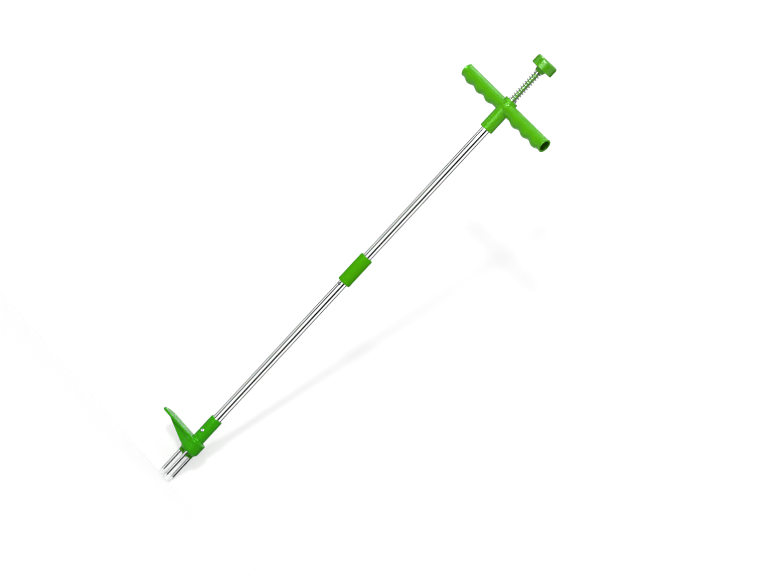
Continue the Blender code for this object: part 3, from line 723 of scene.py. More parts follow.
@dataclass(frozen=True)
class MouldedPlastic(Finish):
    """Glossy coloured moulding."""

    colour: tuple[float, float, float] = (0.07, 0.4, 0.003)
    deep: tuple[float, float, float] = (0.05, 0.33, 0.002)
    gloss: float = 0.26
    sheen_level: float = 0.15
    pebble: float = 1.0
    parting: float = 0.0
    scuffs: float = 0.6
    lengthwise: float = 3.0
    # shade_bores paints shade on the walls of the handle bar's bores, darkening them to bore_shade
    # times the deep colour
    shade_bores: bool = False
    bore_shade: float = 0.3
    patch_loss: float = 0.05
    smudge_loss: float = 0.06
    scratch_loss: float = 0.12

    def inside_bores(self, sheet: NodeSheet) -> bpy.types.NodeSocket:
        """Return 1 on the walls of the handle bar's bores, where shade is painted, and 0 elsewhere.

        The bores lie along X, so a wall is near the bar's axis and away from the shaft. The mask
        fades out between two distances past a wall.
        """
        start, end = 0.1 * MM, 0.7 * MM
        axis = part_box("handle")[1][2] - BAR_BELOW_TOP
        place = sheet.add("SeparateXYZ", {0: sheet.add("TexCoord").outputs["Object"]})
        up = sheet.math("SUBTRACT", place.outputs["Z"], axis)
        square = sheet.math("MULTIPLY_ADD", up, up,
                            sheet.math("MULTIPLY", place.outputs["Y"], place.outputs["Y"]))
        near = sheet.spread(sheet.math("SQRT", square), BAR_BORE + start, BAR_BORE + end, 1.0, 0.0)
        out = sheet.spread(sheet.math("ABSOLUTE", place.outputs["X"]),
                           BAR_CORE_HALF - end, BAR_CORE_HALF - start)
        return sheet.math("MULTIPLY", near, out)

    def dress(self, sheet: NodeSheet, shader: bpy.types.Node) -> None:
        """Vary the colour slowly, paint shade in bores if asked, dull the gloss in patches and
        hairlines, and bump the skin.
        """
        grain = MouldingGrain().place(sheet, pebble=self.pebble, parting_line=self.parting)
        marks = HandlingMarks().place(sheet, hairlines=self.scuffs, smudges=self.scuffs,
                                      stretch=self.lengthwise)
        colour = sheet.add("Mix", {"Factor": grain.outputs["Shade"]}, data_type="RGBA")
        colour.inputs["A"].default_value = (*self.deep, 1)
        colour.inputs["B"].default_value = (*self.colour, 1)
        loss = sheet.math("ADD",
                          sheet.math("MULTIPLY", grain.outputs["Gloss Loss"], self.patch_loss),
                          sheet.math("MULTIPLY", marks.outputs["Smudge"], self.smudge_loss))
        loss = sheet.math("MULTIPLY_ADD", marks.outputs["Scratch"], self.scratch_loss, loss)
        bump = sheet.add("Bump", {"Height": grain.outputs["Height"], "Strength": 0.10,
                                  "Distance": 0.0002})
        shown = colour.outputs["Result"]
        # Painted shade: the bores' walls are darkened towards a fraction of the deep colour
        if self.shade_bores:
            bore_painted_shade = sheet.add("Mix", {"Factor": self.inside_bores(sheet)}, data_type="RGBA")
            sheet.feed(bore_painted_shade.inputs["A"], shown)
            bore_painted_shade.inputs["B"].default_value = (*(level * self.bore_shade for level in self.deep), 1)
            shown = bore_painted_shade.outputs["Result"]
        sheet.feed(shader.inputs["Base Color"], shown)
        sheet.feed(shader.inputs["Roughness"], sheet.math("ADD", self.gloss, loss))
        sheet.feed(shader.inputs["Normal"], bump.outputs["Normal"])
        shader.inputs["IOR"].default_value = 1.49
        shader.inputs["Specular IOR Level"].default_value = self.sheen_level
        shader.inputs["Metallic"].default_value = 0.0


@dataclass(frozen=True)
class Steel(Finish):
    """Bare steel, from mirror-polished tube to plain zinc-plated rod."""

    colour: tuple[float, float, float] = (0.83, 0.84, 0.85)
    dull: tuple[float, float, float] = (0.70, 0.71, 0.72)
    roughness: float = 0.02
    marks: float = 0.25
    lengthwise: float = 30.0
    ripple: float = 0.01
    smudge_loss: float = 0.05
    scratch_loss: float = 0.10

    def dress(self, sheet: NodeSheet, shader: bpy.types.Node) -> None:
        """Dull the polish in smudges and lengthwise hairlines."""
        marks = HandlingMarks().place(sheet, hairlines=self.marks, smudges=self.marks,
                                      stretch=self.lengthwise)
        colour = sheet.add("Mix", {"Factor": marks.outputs["Smudge"]}, data_type="RGBA")
        colour.inputs["A"].default_value = (*self.colour, 1)
        colour.inputs["B"].default_value = (*self.dull, 1)
        loss = sheet.math("ADD",
                          sheet.math("MULTIPLY", marks.outputs["Smudge"], self.smudge_loss),
                          sheet.math("MULTIPLY", marks.outputs["Scratch"], self.scratch_loss))
        bump = sheet.add("Bump", {"Height": marks.outputs["Scratch"], "Strength": self.ripple,
                                  "Distance": 0.0001})
        sheet.feed(shader.inputs["Base Color"], colour.outputs["Result"])
        sheet.feed(shader.inputs["Roughness"], sheet.math("ADD", self.roughness, loss))
        sheet.feed(shader.inputs["Normal"], bump.outputs["Normal"])
        shader.inputs["Metallic"].default_value = 1.0


# The handle's finish has painted shade in its bar's two bores
HANDLE_GREEN = MouldedPlastic("handle_plastic", colour=(0.088, 0.455, 0.0022),
                              deep=(0.077, 0.410, 0.0018), gloss=0.22, sheen_level=0.17,
                              parting=1.0, shade_bores=True)
SLEEVE_GREEN = MouldedPlastic("sleeve_plastic", colour=(0.068, 0.430, 0.0022),
                              deep=(0.058, 0.380, 0.0018), gloss=0.34, sheen_level=0.012)
KNOB_GREEN = MouldedPlastic("knob_plastic", colour=(0.080, 0.400, 0.0030),
                            deep=(0.070, 0.360, 0.0025), gloss=0.20, sheen_level=0.30)
STEM_GREEN = MouldedPlastic("stem_plastic", colour=(0.130, 0.400, 0.045),
                            deep=(0.115, 0.350, 0.040), gloss=0.30, sheen_level=0.30)
HEAD_GREEN = MouldedPlastic("head_plastic", colour=(0.036, 0.400, 0.0014),
                            deep=(0.031, 0.360, 0.0011), gloss=0.24, sheen_level=0.08,
                            parting=1.0)
# The ejector's own bright green, darkened as painted shade for the shade under the claw head
EJECTOR_SHADED_GREEN = MouldedPlastic("ejector_plastic", colour=(0.045, 0.280, 0.0020),
                               deep=(0.038, 0.240, 0.0016), gloss=0.24, sheen_level=0.10)
GUIDE_BLACK = MouldedPlastic("guide_black", colour=(0.03, 0.03, 0.031), deep=(0.022, 0.022, 0.023),
                             gloss=0.42)
POLISHED_TUBE = Steel("polished_tube")
POLISHED_TINE = Steel("polished_tine", roughness=0.03, marks=0.5, lengthwise=14.0)
EYELET_PLATE = Steel("eyelet_plate", colour=(0.50, 0.51, 0.52), dull=(0.36, 0.37, 0.38),
                     roughness=0.18, marks=0.6, lengthwise=2.0)
SPRING_WIRE = Steel("spring_wire", colour=(0.27, 0.28, 0.28), dull=(0.19, 0.20, 0.20),
                    roughness=0.20, marks=0.8, lengthwise=4.0)
BLACKENED = Steel("blackened_steel", colour=(0.045, 0.045, 0.048), dull=(0.07, 0.07, 0.072),
                  roughness=0.30, marks=0.6, lengthwise=2.0)
PLATED_ROD = Steel("plated_rod", colour=(0.58, 0.59, 0.60), dull=(0.47, 0.48, 0.49),
                   roughness=0.24, marks=1.0, lengthwise=20.0)


# ---------------------------------------------------------------- fitting pieces to the frame


@dataclass
class SubAssembly:
    """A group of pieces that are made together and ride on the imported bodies."""

    made: list[str] = field(default_factory=list)

    def fit(self, surface: Surface, name: str, node: str, body: Body, finish: Finish, slot: str,
            smooth_angle: float = 40.0) -> bpy.types.Object:
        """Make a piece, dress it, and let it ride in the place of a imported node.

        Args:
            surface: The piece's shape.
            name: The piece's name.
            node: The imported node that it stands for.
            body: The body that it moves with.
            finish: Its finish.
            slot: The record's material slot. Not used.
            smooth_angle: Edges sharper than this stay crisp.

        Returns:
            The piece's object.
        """
        piece = surface.to_object(name, smooth_angle)
        piece.data.materials.append(finish.material())
        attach(piece, body.value)
        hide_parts(node)
        self.made.append(name)
        LOG.info("%s: %d faces for %s", name, len(piece.data.polygons), node)
        return piece

    @staticmethod
    def levels(node: str) -> tuple[float, float]:
        """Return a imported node's lowest and highest level."""
        low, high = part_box(node)
        return low[2], high[2]

    @staticmethod
    def ring(node: str, bore: float, edge: float, sides: int = 96) -> Surface:
        """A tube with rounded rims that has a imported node's outer radius and levels."""
        low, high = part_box(node)
        return tube_surface(high[0], bore, low[2], high[2], edge, sides)

    @staticmethod
    def moulded(node: str, distance: Field, step: float) -> Surface:
        """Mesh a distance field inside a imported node's box."""
        return FieldMesher(step).mesh(distance, *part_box(node))

    def build(self) -> None:
        """Make every piece of the group."""
        raise NotImplementedError


@dataclass
class Handle(SubAssembly):
    """The T-handle with its bush, spring washer and rivet."""

    collar_radius: float = 12.7 * MM
    bar_radius: float = 12.4 * MM
    bar_end_edge: float = 1.1 * MM
    collar_rim: float = 0.9 * MM
    collar_fillet: float = 1.0 * MM
    bar_mouth: float = 1.3 * MM
    tube_mouth: float = 0.8 * MM
    stem_mouth: float = 0.6 * MM
    lip: float = 0.8 * MM
    lip_width: float = 4.0 * MM
    first_bump: float = 37.0 * MM
    bump_pitch: float = 27.2 * MM
    bump_depth: float = 3.8 * MM
    bumps: int = 3
    tube_below_bar: float = 6.0 * MM
    stem_bore: float = 4.9 * MM
    bush_bore: float = 6.7 * MM

    def bump(self, x: np.ndarray) -> np.ndarray:
        """Depth of the finger bumps along the bar: a raised cosine of the pitch, three a side."""
        along = np.abs(x) - self.first_bump
        inside = (along > -self.bump_pitch / 2) & (along < (self.bumps - 0.5) * self.bump_pitch)
        wave = 0.5 + 0.5 * np.cos(2 * math.pi * along / self.bump_pitch)
        return np.where(inside, self.bump_depth * wave, 0.0)

    def distance(self, points: np.ndarray) -> np.ndarray:
        """Distance field of the moulding.

        The bar is round about X, with a radius that grows by the bumps' depth times the cosine of
        the angle from straight down, to the power 1.5, and by a smooth lip at each end. The collar
        and boss are one upright round bar. The bores are cut out of both.
        """
        (low_x, _, end), (high_x, _, top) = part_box("handle")
        axis, half = top - BAR_BELOW_TOP, (high_x - low_x) / 2
        x, y, z = points[:, 0], points[:, 1], points[:, 2] - axis
        away = np.hypot(y, z)
        down = np.clip(-z / np.maximum(away, 1e-6), 0, 1)
        out = np.clip((np.abs(x) - half + self.lip_width) / self.lip_width, 0, 1)
        radius = self.bar_radius + self.bump(x) * down**1.5 + self.lip * out**2 * (3 - 2 * out)
        bar = corner_distance(away - radius, np.abs(x) - half, self.bar_end_edge)
        collar = standing(self.collar_radius, points, end, top, self.collar_rim)
        solid = merged(bar, collar, self.collar_fillet)
        bores = np.maximum(away - BAR_BORE, BAR_CORE_HALF - np.abs(x))
        solid = carved(solid, bores, self.bar_mouth)
        tube = np.maximum(radius_of(points) - TUBE_SOCKET, z + self.tube_below_bar)
        solid = carved(solid, tube, self.tube_mouth)
        solid = carved(solid, radius_of(points) - self.stem_bore, self.stem_mouth)
        bush_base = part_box("handle_bush")[0][2] - axis
        bush = np.maximum(radius_of(points) - self.bush_bore, bush_base - z)
        solid = carved(solid, bush, self.tube_mouth)
        rivet_level = sum(self.levels("handle_rivet")) / 2
        return carved(solid, radial_hole(points, Side.REAR, rivet_level, RIVET_HOLE), FINE_EDGE)

    def build(self) -> None:
        """Make the moulding and the small parts in it."""
        shell = self.moulded("handle", self.distance, 0.70 * MM)
        self.fit(shell, "handle_moulding", "handle", Body.TOOL, HANDLE_GREEN, "handle_green", 180)
        bush = self.ring("handle_bush", self.stem_bore - PLAY, FINE_EDGE)
        self.fit(bush, "stem_bush", "handle_bush", Body.TOOL, GUIDE_BLACK, "dark_plastic")
        washer = self.ring("spring_washer", self.stem_bore, 0.25 * MM)
        self.fit(washer, "spring_seat_washer", "spring_washer", Body.TOOL, PLATED_ROD,
                 "plain_steel")


@dataclass
class Eyelet:
    """A hollow rivet: a rolled flange outside and a shank through the sleeve."""

    bore: float = 1.1 * MM
    shank: float = 2.0 * MM
    flange: float = 3.2 * MM
    flange_height: float = 0.9 * MM

    def surface(self, side: Side, level: float, inner_end: float, outer_end: float) -> Surface:
        """Turn the rivet's profile and lay it out along its radius.

        Args:
            side: Side of the shaft that the flange is on.
            level: Height of the rivet's axis.
            inner_end: Distance of the shank's end from the shaft's axis.
            outer_end: Distance of the flange's crown from the shaft's axis.

        Returns:
            The surface in place.
        """
        seat = outer_end - self.flange_height
        crown = (self.bore + self.flange) / 2
        corners = [
            (crown, outer_end, 0.0),
            (self.flange - 0.2 * MM, outer_end - 0.05 * MM, 0.6 * MM),
            (self.flange, seat, 0.15 * MM),
            (self.shank, seat, 0.1 * MM),
            (self.shank, inner_end, 0.1 * MM),
            (self.bore, inner_end, 0.1 * MM),
            (self.bore, outer_end, 0.7 * MM),
            (crown, outer_end, 0.0),
        ]
        ring = revolved(rounded_outline(corners)[:-1], 48, ring=True)
        return ring.moved(radial_matrix(side.value, level))


@dataclass
class Shaft(SubAssembly):
    """The two tubes, the sleeve between them, the rivets, the guides and the snap lock."""

    tube: float = 8.0 * MM
    tube_bore: float = 7.0 * MM
    sleeve_edge: float = 2.2 * MM
    rib_bore: float = 3.1 * MM
    rib_half: float = 1.5 * MM
    rib_edge: float = 0.2 * MM
    guide_bore: float = 2.8 * MM
    shank_end: float = 6.5 * MM

    def sleeve(self) -> Surface:
        """The sleeve: rounded outer edges, a bore from each end, and a rib between the bores."""
        low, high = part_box("connector_sleeve")
        outer, base, top = high[0], low[2], high[2]
        middle = (base + top) / 2
        wall = (outer + TUBE_SOCKET) / 2
        corners = [
            (wall, top, 0.0),
            (outer, top, self.sleeve_edge),
            (outer, middle, 0.0),
            (outer, base, self.sleeve_edge),
            (TUBE_SOCKET, base, FINE_EDGE),
            (TUBE_SOCKET, middle - self.rib_half, self.rib_edge),
            (self.rib_bore, middle - self.rib_half, self.rib_edge),
            (self.rib_bore, middle + self.rib_half, self.rib_edge),
            (TUBE_SOCKET, middle + self.rib_half, self.rib_edge),
            (TUBE_SOCKET, top, FINE_EDGE),
            (wall, top, 0.0),
        ]
        return revolved(rounded_outline(corners)[:-1], 128, ring=True)

    def snap_button(self) -> Surface:
        """The button: a shallow crowned head on a round body."""
        low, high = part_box("snap_button")
        radius, crown, foot = high[0], -low[1], -high[1]
        corners = [
            (0.0, crown, 0.0), (radius * 0.45, crown - 0.02 * MM, 0.4 * MM),
            (radius, crown - 0.75 * MM, 0.9 * MM), (radius, foot, 0.2 * MM), (0.0, foot, 0.0),
        ]
        level = (low[2] + high[2]) / 2
        return revolved(rounded_outline(corners, 8), 48).moved(
            radial_matrix(Side.FRONT.value, level))

    def leaf(self) -> Surface:
        """The leaf spring: a thin strip with softened edges, from a distance field."""
        low, high = (np.array(corner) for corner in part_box("snap_leaf_spring"))
        centre, half = (low + high) / 2, (high - low) / 2
        edge = 0.2 * MM

        def distance(points: np.ndarray) -> np.ndarray:
            """A box with rounded edges."""
            out = np.abs(points - centre) - half + edge
            outside = np.linalg.norm(np.maximum(out, 0), axis=1)
            return outside + np.minimum(out.max(axis=1), 0) - edge

        return self.moulded("snap_leaf_spring", distance, 0.2 * MM)

    def build(self) -> None:
        """Make the tubes and everything that is fixed to them."""
        for node in ("upper_tube", "lower_tube"):
            base, top = self.levels(node)
            surface = tube_surface(self.tube, self.tube_bore, base, top, 0.25 * MM, 128)
            self.fit(surface, f"{node}_polished", node, Body.TOOL, POLISHED_TUBE, "polished_steel")
        self.fit(self.sleeve(), "joining_sleeve", "connector_sleeve", Body.TOOL, SLEEVE_GREEN,
                 "handle_green", 50)
        for node in ("upper_rod_guide", "lower_rod_guide"):
            ring = self.ring(node, self.guide_bore, 0.5 * MM, 64)
            self.fit(ring, f"{node}_ring", node, Body.TOOL, GUIDE_BLACK, "dark_plastic")
        for node, side in (("head_rivet", Side.FRONT), ("handle_rivet", Side.REAR)):
            low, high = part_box(node)
            outer_end = max(-low[1], high[1])
            eyelet = Eyelet().surface(side, (low[2] + high[2]) / 2, self.shank_end, outer_end)
            self.fit(eyelet, f"{node}_eyelet", node, Body.TOOL, EYELET_PLATE, "polished_steel")
        self.fit(self.snap_button(), "snap_button_dome", "snap_button", Body.SNAP_LOCK,
                 BLACKENED, "polished_steel")
        self.fit(self.leaf(), "snap_leaf", "snap_leaf_spring", Body.SNAP_LOCK, SPRING_WIRE,
                 "spring_steel", 180)


@dataclass
class ClawHead(SubAssembly):
    """The cup with its socket, the foot pedal under it, and the three tines."""

    cup_radius: float = 18.0 * MM
    cup_height: float = 26.0 * MM
    taper: float = 3.2 * MM
    taper_height: float = 5.2 * MM
    cup_rim: float = 1.0 * MM
    taper_edge: float = 1.6 * MM
    socket_radius: float = 11.4 * MM
    socket_foot: float = 5.0 * MM
    socket_rim: float = 0.7 * MM
    socket_fillet: float = 1.8 * MM
    pedal_width: float = 35.4 * MM
    pedal_corner: float = 13.0 * MM
    pedal_thickness: float = 4.4 * MM
    pedal_edge: float = 1.2 * MM
    pedal_fillet: float = 4.0 * MM
    tread_drop: float = 0.4 * MM
    wall: float = 2.6 * MM
    wall_reach: float = 80.0 * MM
    wall_tip: float = 5.0 * MM
    wall_edge: float = 0.8 * MM
    wall_bite: float = 1.0 * MM
    tip_fillet: float = 1.5 * MM
    slope_edge: float = 1.4 * MM
    tread_fillet: float = 2.0 * MM
    tine_circle: float = 12.6 * MM
    tine_radius: float = 3.0 * MM
    tine_hole: float = 3.15 * MM
    tine_point: float = 11.0 * MM
    tine_tip: float = 0.35 * MM
    rod_hole: float = 2.8 * MM
    past_seat: float = 1.0 * MM
    pocket_reach: float = 8.3 * MM
    pocket_half: float = 3.6 * MM
    pocket_mouth: float = 0.6 * MM
    tube_mouth: float = 0.7 * MM
    tine_mouth: float = 0.5 * MM
    web: float = 4.0 * MM

    def pedal(self, points: np.ndarray, base: float, reach: float) -> np.ndarray:
        """Distance to the pedal: a flat tread with a round tip, on two walls and a middle rib.

        In plan the tread is a box with rounded corners. The walls run from the cup's flanks to
        near the tip, and all of it ends above a sloped plane from the cup's foot to the tread.
        """
        tread = base + self.cup_height - self.tread_drop
        under = tread - self.pedal_thickness
        inner_end = self.pedal_corner
        centre, half = (inner_end - reach) / 2, (inner_end + reach) / 2
        plan = corner_distance(np.abs(points[:, 0] - centre) - half,
                               np.abs(points[:, 1]) - self.pedal_width / 2, self.pedal_corner)
        plate = upright(plan, points, under, tread, self.pedal_edge)
        root = self.cup_radius - self.wall / 2
        walls = np.full(len(points), np.inf)
        for side in (-1, 0, 1):
            run = wall_distance(points, (0.0, side * (root - self.wall / 2)),
                                (-self.wall_reach, side * (self.wall_tip - self.wall / 2)),
                                self.wall / 2)
            walls = np.minimum(walls, run)
        tip = wall_distance(points, (-self.wall_reach, -self.wall_tip / 2),
                            (-self.wall_reach, self.wall_tip / 2), self.wall / 2)
        walls = upright(merged(walls, tip, self.tip_fillet), points, base, tread - self.wall_bite,
                        self.wall_edge)
        foot = base + self.taper_height
        run, rise = self.wall_reach - self.cup_radius, under - foot
        slope = foot + (-points[:, 0] - self.cup_radius) * rise / run
        below = (np.maximum(slope, foot) - points[:, 2]) * run / math.hypot(run, rise)
        walls = bounded(walls, below, self.slope_edge)
        return merged(plate, walls, self.tread_fillet)

    def distance(self, points: np.ndarray) -> np.ndarray:
        """Distance field of the head: cup, taper, socket and pedal, less the holes in it."""
        (low_x, _, base), (_, _, top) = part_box("claw_head")
        ledge = base + self.cup_height
        away, height = radius_of(points), points[:, 2]
        cup = standing(self.cup_radius, points, base, ledge, self.cup_rim)
        lean = math.atan2(self.taper, self.taper_height)
        cone = (away - (self.cup_radius - self.taper)
                - (height - base) * math.tan(lean)) * math.cos(lean)
        cup = bounded(cup, cone, self.taper_edge)
        socket = standing(self.socket_radius, points, base + self.socket_foot, top,
                          self.socket_rim)
        solid = merged(cup, socket, self.socket_fillet)
        solid = merged(solid, self.pedal(points, base, -low_x), self.pedal_fillet)
        seat = self.levels("lower_tube")[0] - PLAY
        pocket_top = seat - self.web
        plan = arms_distance(points, self.pocket_reach, self.pocket_half, FINE_EDGE)
        solid = carved(solid, np.maximum(plan, height - pocket_top), self.pocket_mouth)
        rod = np.maximum(away - self.rod_hole, height - seat - self.past_seat)
        solid = carved(solid, rod, FINE_EDGE)
        solid = carved(solid, np.maximum(away - TUBE_SOCKET, seat - height), self.tube_mouth)
        tine_top = self.levels("tine_front")[1] + PLAY
        for degrees in TINE_ANGLES:
            x, y = self.tine_place(degrees)
            hole = np.hypot(points[:, 0] - x, points[:, 1] - y) - self.tine_hole
            solid = carved(solid, np.maximum(hole, height - tine_top), self.tine_mouth)
        rivet_level = sum(self.levels("head_rivet")) / 2
        return carved(solid, radial_hole(points, Side.FRONT, rivet_level, RIVET_HOLE), FINE_EDGE)

    def tine_place(self, degrees: float) -> tuple[float, float]:
        """Return where a tine's axis stands in plan."""
        angle = math.radians(degrees)
        return self.tine_circle * math.cos(angle), self.tine_circle * math.sin(angle)

    def tine(self, top: float) -> Surface:
        """A round rod whose point narrows along a slightly bowed cone to a blunt tip.

        Over the point, at a share s of its length from the tip, the radius is the blunt tip's plus
        the rest times s to the power 0.9.
        """
        share = np.linspace(1, 0, 14)
        tip = self.tine_tip
        point = np.column_stack([tip + (self.tine_radius - tip) * share**0.9,
                                 self.tine_point * share])
        upper = rounded_outline([(0, top, 0), (self.tine_radius, top, FINE_EDGE),
                                 (self.tine_radius, self.tine_point * 1.4, 0)])
        collar = np.array([[self.tine_radius, self.tine_point * k] for k in (1.2, 1.08)])
        return revolved(np.vstack([upper, collar, point, [[0.0, 0.0]]]), 64)

    def build(self) -> None:
        """Make the head and its tines."""
        shell = self.moulded("claw_head", self.distance, 0.62 * MM)
        self.fit(shell, "claw_head_moulding", "claw_head", Body.TOOL, HEAD_GREEN, "head_green", 180)
        nodes = ("tine_pedal_side", "tine_rear", "tine_front")
        for node, degrees in zip(nodes, TINE_ANGLES):
            matrix = np.eye(4)
            matrix[:2, 3] = self.tine_place(degrees)
            tine = self.tine(self.levels(node)[1]).moved(matrix)
            self.fit(tine, f"{node}_rod", node, Body.TOOL, POLISHED_TINE, "polished_steel", 60)


@dataclass
class Plunger(SubAssembly):
    """The push knob, its stem and rods, the ejector at the foot, and the spring round the stem."""

    knob_edge: float = 4.6 * MM
    knob_mouth_edge: float = 1.5 * MM
    past_mouth: float = 10.0 * MM
    rib_recess: float = 2.0 * MM
    rib_edge: float = 0.6 * MM
    hollow_edge: float = 0.8 * MM
    bore_mouth: float = 0.5 * MM
    knob_wall: float = 2.6 * MM
    knob_deck: float = 3.2 * MM
    knob_height: float = 19.0 * MM
    knob_ribs: int = 6
    rib_wall: float = 1.6 * MM
    neck_top: float = 9.5 * MM
    neck: float = 7.9 * MM
    stem_bore: float = 4.6 * MM
    rod: float = 2.5 * MM
    rod_bore: float = 2.8 * MM
    block_height: float = 7.2 * MM
    reach: float = 14.5 * MM
    arm_half: float = 5.3 * MM
    groove: float = 3.3 * MM
    past_block: float = 1.5 * MM
    past_reach: float = 4.0 * MM
    arm_edge: float = 1.0 * MM
    block_edge: float = 0.7 * MM
    star_edge: float = 0.6 * MM
    star_sunk: float = 1.0 * MM
    star_fillet: float = 1.2 * MM
    stem_reach: float = 8.0 * MM
    stem_half: float = 3.3 * MM
    screw_recess: float = 3.2 * MM
    screw_shank: float = 1.25 * MM
    screw_head: float = 2.0 * MM
    slot_half: float = 0.4 * MM
    slot_depth: float = 1.0 * MM
    spring_radius: float = 6.6 * MM
    spring_wire: float = 0.7 * MM
    closed_gap: float = 0.15 * MM
    spring_turns: int = 13

    def knob_distance(self, points: np.ndarray) -> np.ndarray:
        """Distance field of the knob: a disc with a rounded rim, hollow below between its ribs.

        The disc is made deeper than it is and cut off at its mouth. Its middle boss narrows below
        the disc to the neck, and has the stem's bore.
        """
        neck_base, top = self.levels("push_knob")
        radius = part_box("push_knob")[1][0]
        base = top - self.knob_height
        away, height = radius_of(points), points[:, 2]
        disc = standing(radius, points, base - self.past_mouth, top, self.knob_edge)
        disc = bounded(disc, base - height, self.knob_mouth_edge)
        deck = top - self.knob_deck
        hollow = np.maximum(np.abs(away - (self.neck_top + radius - self.knob_wall) / 2)
                            - (radius - self.knob_wall - self.neck_top) / 2, height - deck)
        turn = np.arctan2(points[:, 1], points[:, 0])
        sector = 2 * math.pi / self.knob_ribs
        off = (turn + sector / 2) % sector - sector / 2
        rib = np.abs(away * np.sin(off)) - self.rib_wall / 2
        rib = np.maximum(rib, base + self.rib_recess - height)
        hollow = carved(hollow, rib, self.rib_edge)
        disc = carved(disc, hollow, self.hollow_edge)
        share = np.clip((height - neck_base) / (base - neck_base), 0, 1)
        boss_radius = self.neck + (self.neck_top - self.neck) * share
        boss = corner_distance(away - boss_radius, np.maximum(neck_base - height, height - deck),
                               self.bore_mouth)
        solid = merged(disc, boss, self.hollow_edge)
        stem_top = self.levels("knob_stem")[1] + PLAY
        return carved(solid, np.maximum(away - self.stem_bore, height - stem_top), self.bore_mouth)

    def ejector_distance(self, points: np.ndarray) -> np.ndarray:
        """Distance field of the ejector: a three-armed block with tine grooves, on a thinner star.

        The block ends at a circle, so each groove opens outwards. The rod's socket is cut from
        above, and the screw's recess from below.
        """
        base, top = self.levels("ejector")
        block_top = base + self.block_height
        away, height = radius_of(points), points[:, 2]
        plan = arms_distance(points, self.reach + self.past_reach, self.arm_half, self.arm_edge)
        block = upright(bounded(plan, away - self.reach, self.arm_edge), points, base, block_top,
                        self.block_edge)
        star = arms_distance(points, self.stem_reach, self.stem_half, self.block_edge)
        star = upright(star, points, base + self.star_sunk, top, self.star_edge)
        solid = merged(block, star, self.star_fillet)
        head = ClawHead()
        for degrees in TINE_ANGLES:
            x, y = head.tine_place(degrees)
            groove = np.hypot(points[:, 0] - x, points[:, 1] - y) - self.groove
            groove = np.maximum(groove, height - block_top - self.past_block)
            solid = carved(solid, groove, self.bore_mouth)
        rod_base = self.levels("lower_push_rod")[0] - PLAY
        solid = carved(solid, np.maximum(away - self.rod_bore, rod_base - height), FINE_EDGE)
        solid = carved(solid, away - self.screw_shank, 0.3 * MM)
        screw_seat = self.levels("ejector_screw")[0] + self.screw_head + PLAY
        recess = np.maximum(away - self.screw_recess, height - screw_seat)
        return carved(solid, recess, self.bore_mouth)

    def screw_distance(self, points: np.ndarray) -> np.ndarray:
        """Distance field of the screw: a low round head with a slot, and a shank above it."""
        low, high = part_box("ejector_screw")
        head_top = low[2] + self.screw_head
        head = standing(high[0], points, low[2], head_top, 0.45 * MM)
        shank = standing(self.screw_shank - 0.15 * MM, points, head_top - 1 * MM, high[2], 0.3 * MM)
        slot = np.maximum(np.abs(points[:, 1]) - self.slot_half,
                          points[:, 2] - low[2] - self.slot_depth)
        return carved(merged(head, shank, 0.3 * MM), slot, 0.15 * MM)

    def spring(self) -> Surface:
        """A compression spring with one closed turn at each end and even turns between."""
        base, top = self.levels("return_spring")
        low, high = base + self.spring_wire, top - self.spring_wire
        closed = 2 * self.spring_wire + self.closed_gap
        turns = self.spring_turns
        pitch = (high - low - 2 * closed) / (turns - 2)

        def heights(turn: np.ndarray) -> np.ndarray:
            """Height of the wire: closed pitch in the first and last turn, even pitch between."""
            first = np.minimum(turn, 1) * closed
            last = np.maximum(turn - turns + 1, 0) * closed
            return low + first + last + (np.clip(turn, 1, turns - 1) - 1) * pitch

        return coil_surface(self.spring_radius, self.spring_wire, heights, turns)

    def build(self) -> None:
        """Make the moving chain from the knob down to the ejector, and the return spring."""
        knob = self.moulded("push_knob", self.knob_distance, 0.5 * MM)
        self.fit(knob, "push_knob_moulding", "push_knob", Body.PLUNGER, KNOB_GREEN,
                 "handle_green", 180)
        slider = self.moulded("ejector", self.ejector_distance, 0.36 * MM)
        self.fit(slider, "ejector_slider", "ejector", Body.PLUNGER, EJECTOR_SHADED_GREEN,
                 "ejector_green", 180)
        screw = self.moulded("ejector_screw", self.screw_distance, 0.16 * MM)
        self.fit(screw, "ejector_fixing_screw", "ejector_screw", Body.PLUNGER, PLATED_ROD,
                 "plain_steel", 180)
        base, top = self.levels("knob_stem")
        stem = rod_surface(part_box("knob_stem")[1][0], base, top, 0.6 * MM, 96)
        self.fit(stem, "knob_stem_bar", "knob_stem", Body.PLUNGER, STEM_GREEN, "handle_green")
        for node in ("upper_push_rod", "lower_push_rod"):
            base, top = self.levels(node)
            self.fit(rod_surface(self.rod, base, top, 0.3 * MM), f"{node}_bar", node,
                     Body.PLUNGER, PLATED_ROD, "plain_steel")
        coupler = self.ring("rod_coupler", self.rod_bore, 0.6 * MM, 64)
        self.fit(coupler, "rod_coupler_barrel", "rod_coupler", Body.PLUNGER, PLATED_ROD,
                 "plain_steel")
        self.fit(self.pin(), "stem_cross_pin", "stem_pin", Body.PLUNGER, PLATED_ROD, "plain_steel")
        spring = self.fit(self.spring(), "return_spring_coil", "return_spring", Body.TOOL,
                          SPRING_WIRE, "spring_steel")
        self.let_spring_close(spring)

    def pin(self) -> Surface:
        """The cross pin, laid along X."""
        low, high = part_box("stem_pin")
        radius = (high[2] - low[2]) / 2
        bar = rod_surface(radius, low[0], high[0], 0.2 * MM, 32)
        return bar.moved(radial_matrix(0.0, (low[2] + high[2]) / 2))

    def let_spring_close(self, spring: bpy.types.Object) -> None:
        """Give the spring a mesh of its own; the seat's levels and the plunger's travel are read
        but not used.
        """
        base, top = self.levels("return_spring")
        push = next(joint for joint in frame["joints"] if joint["name"] == "plunger_push")
        travel = max(push["range_m"])
        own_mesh(spring)


# ---------------------------------------------------------------- studio


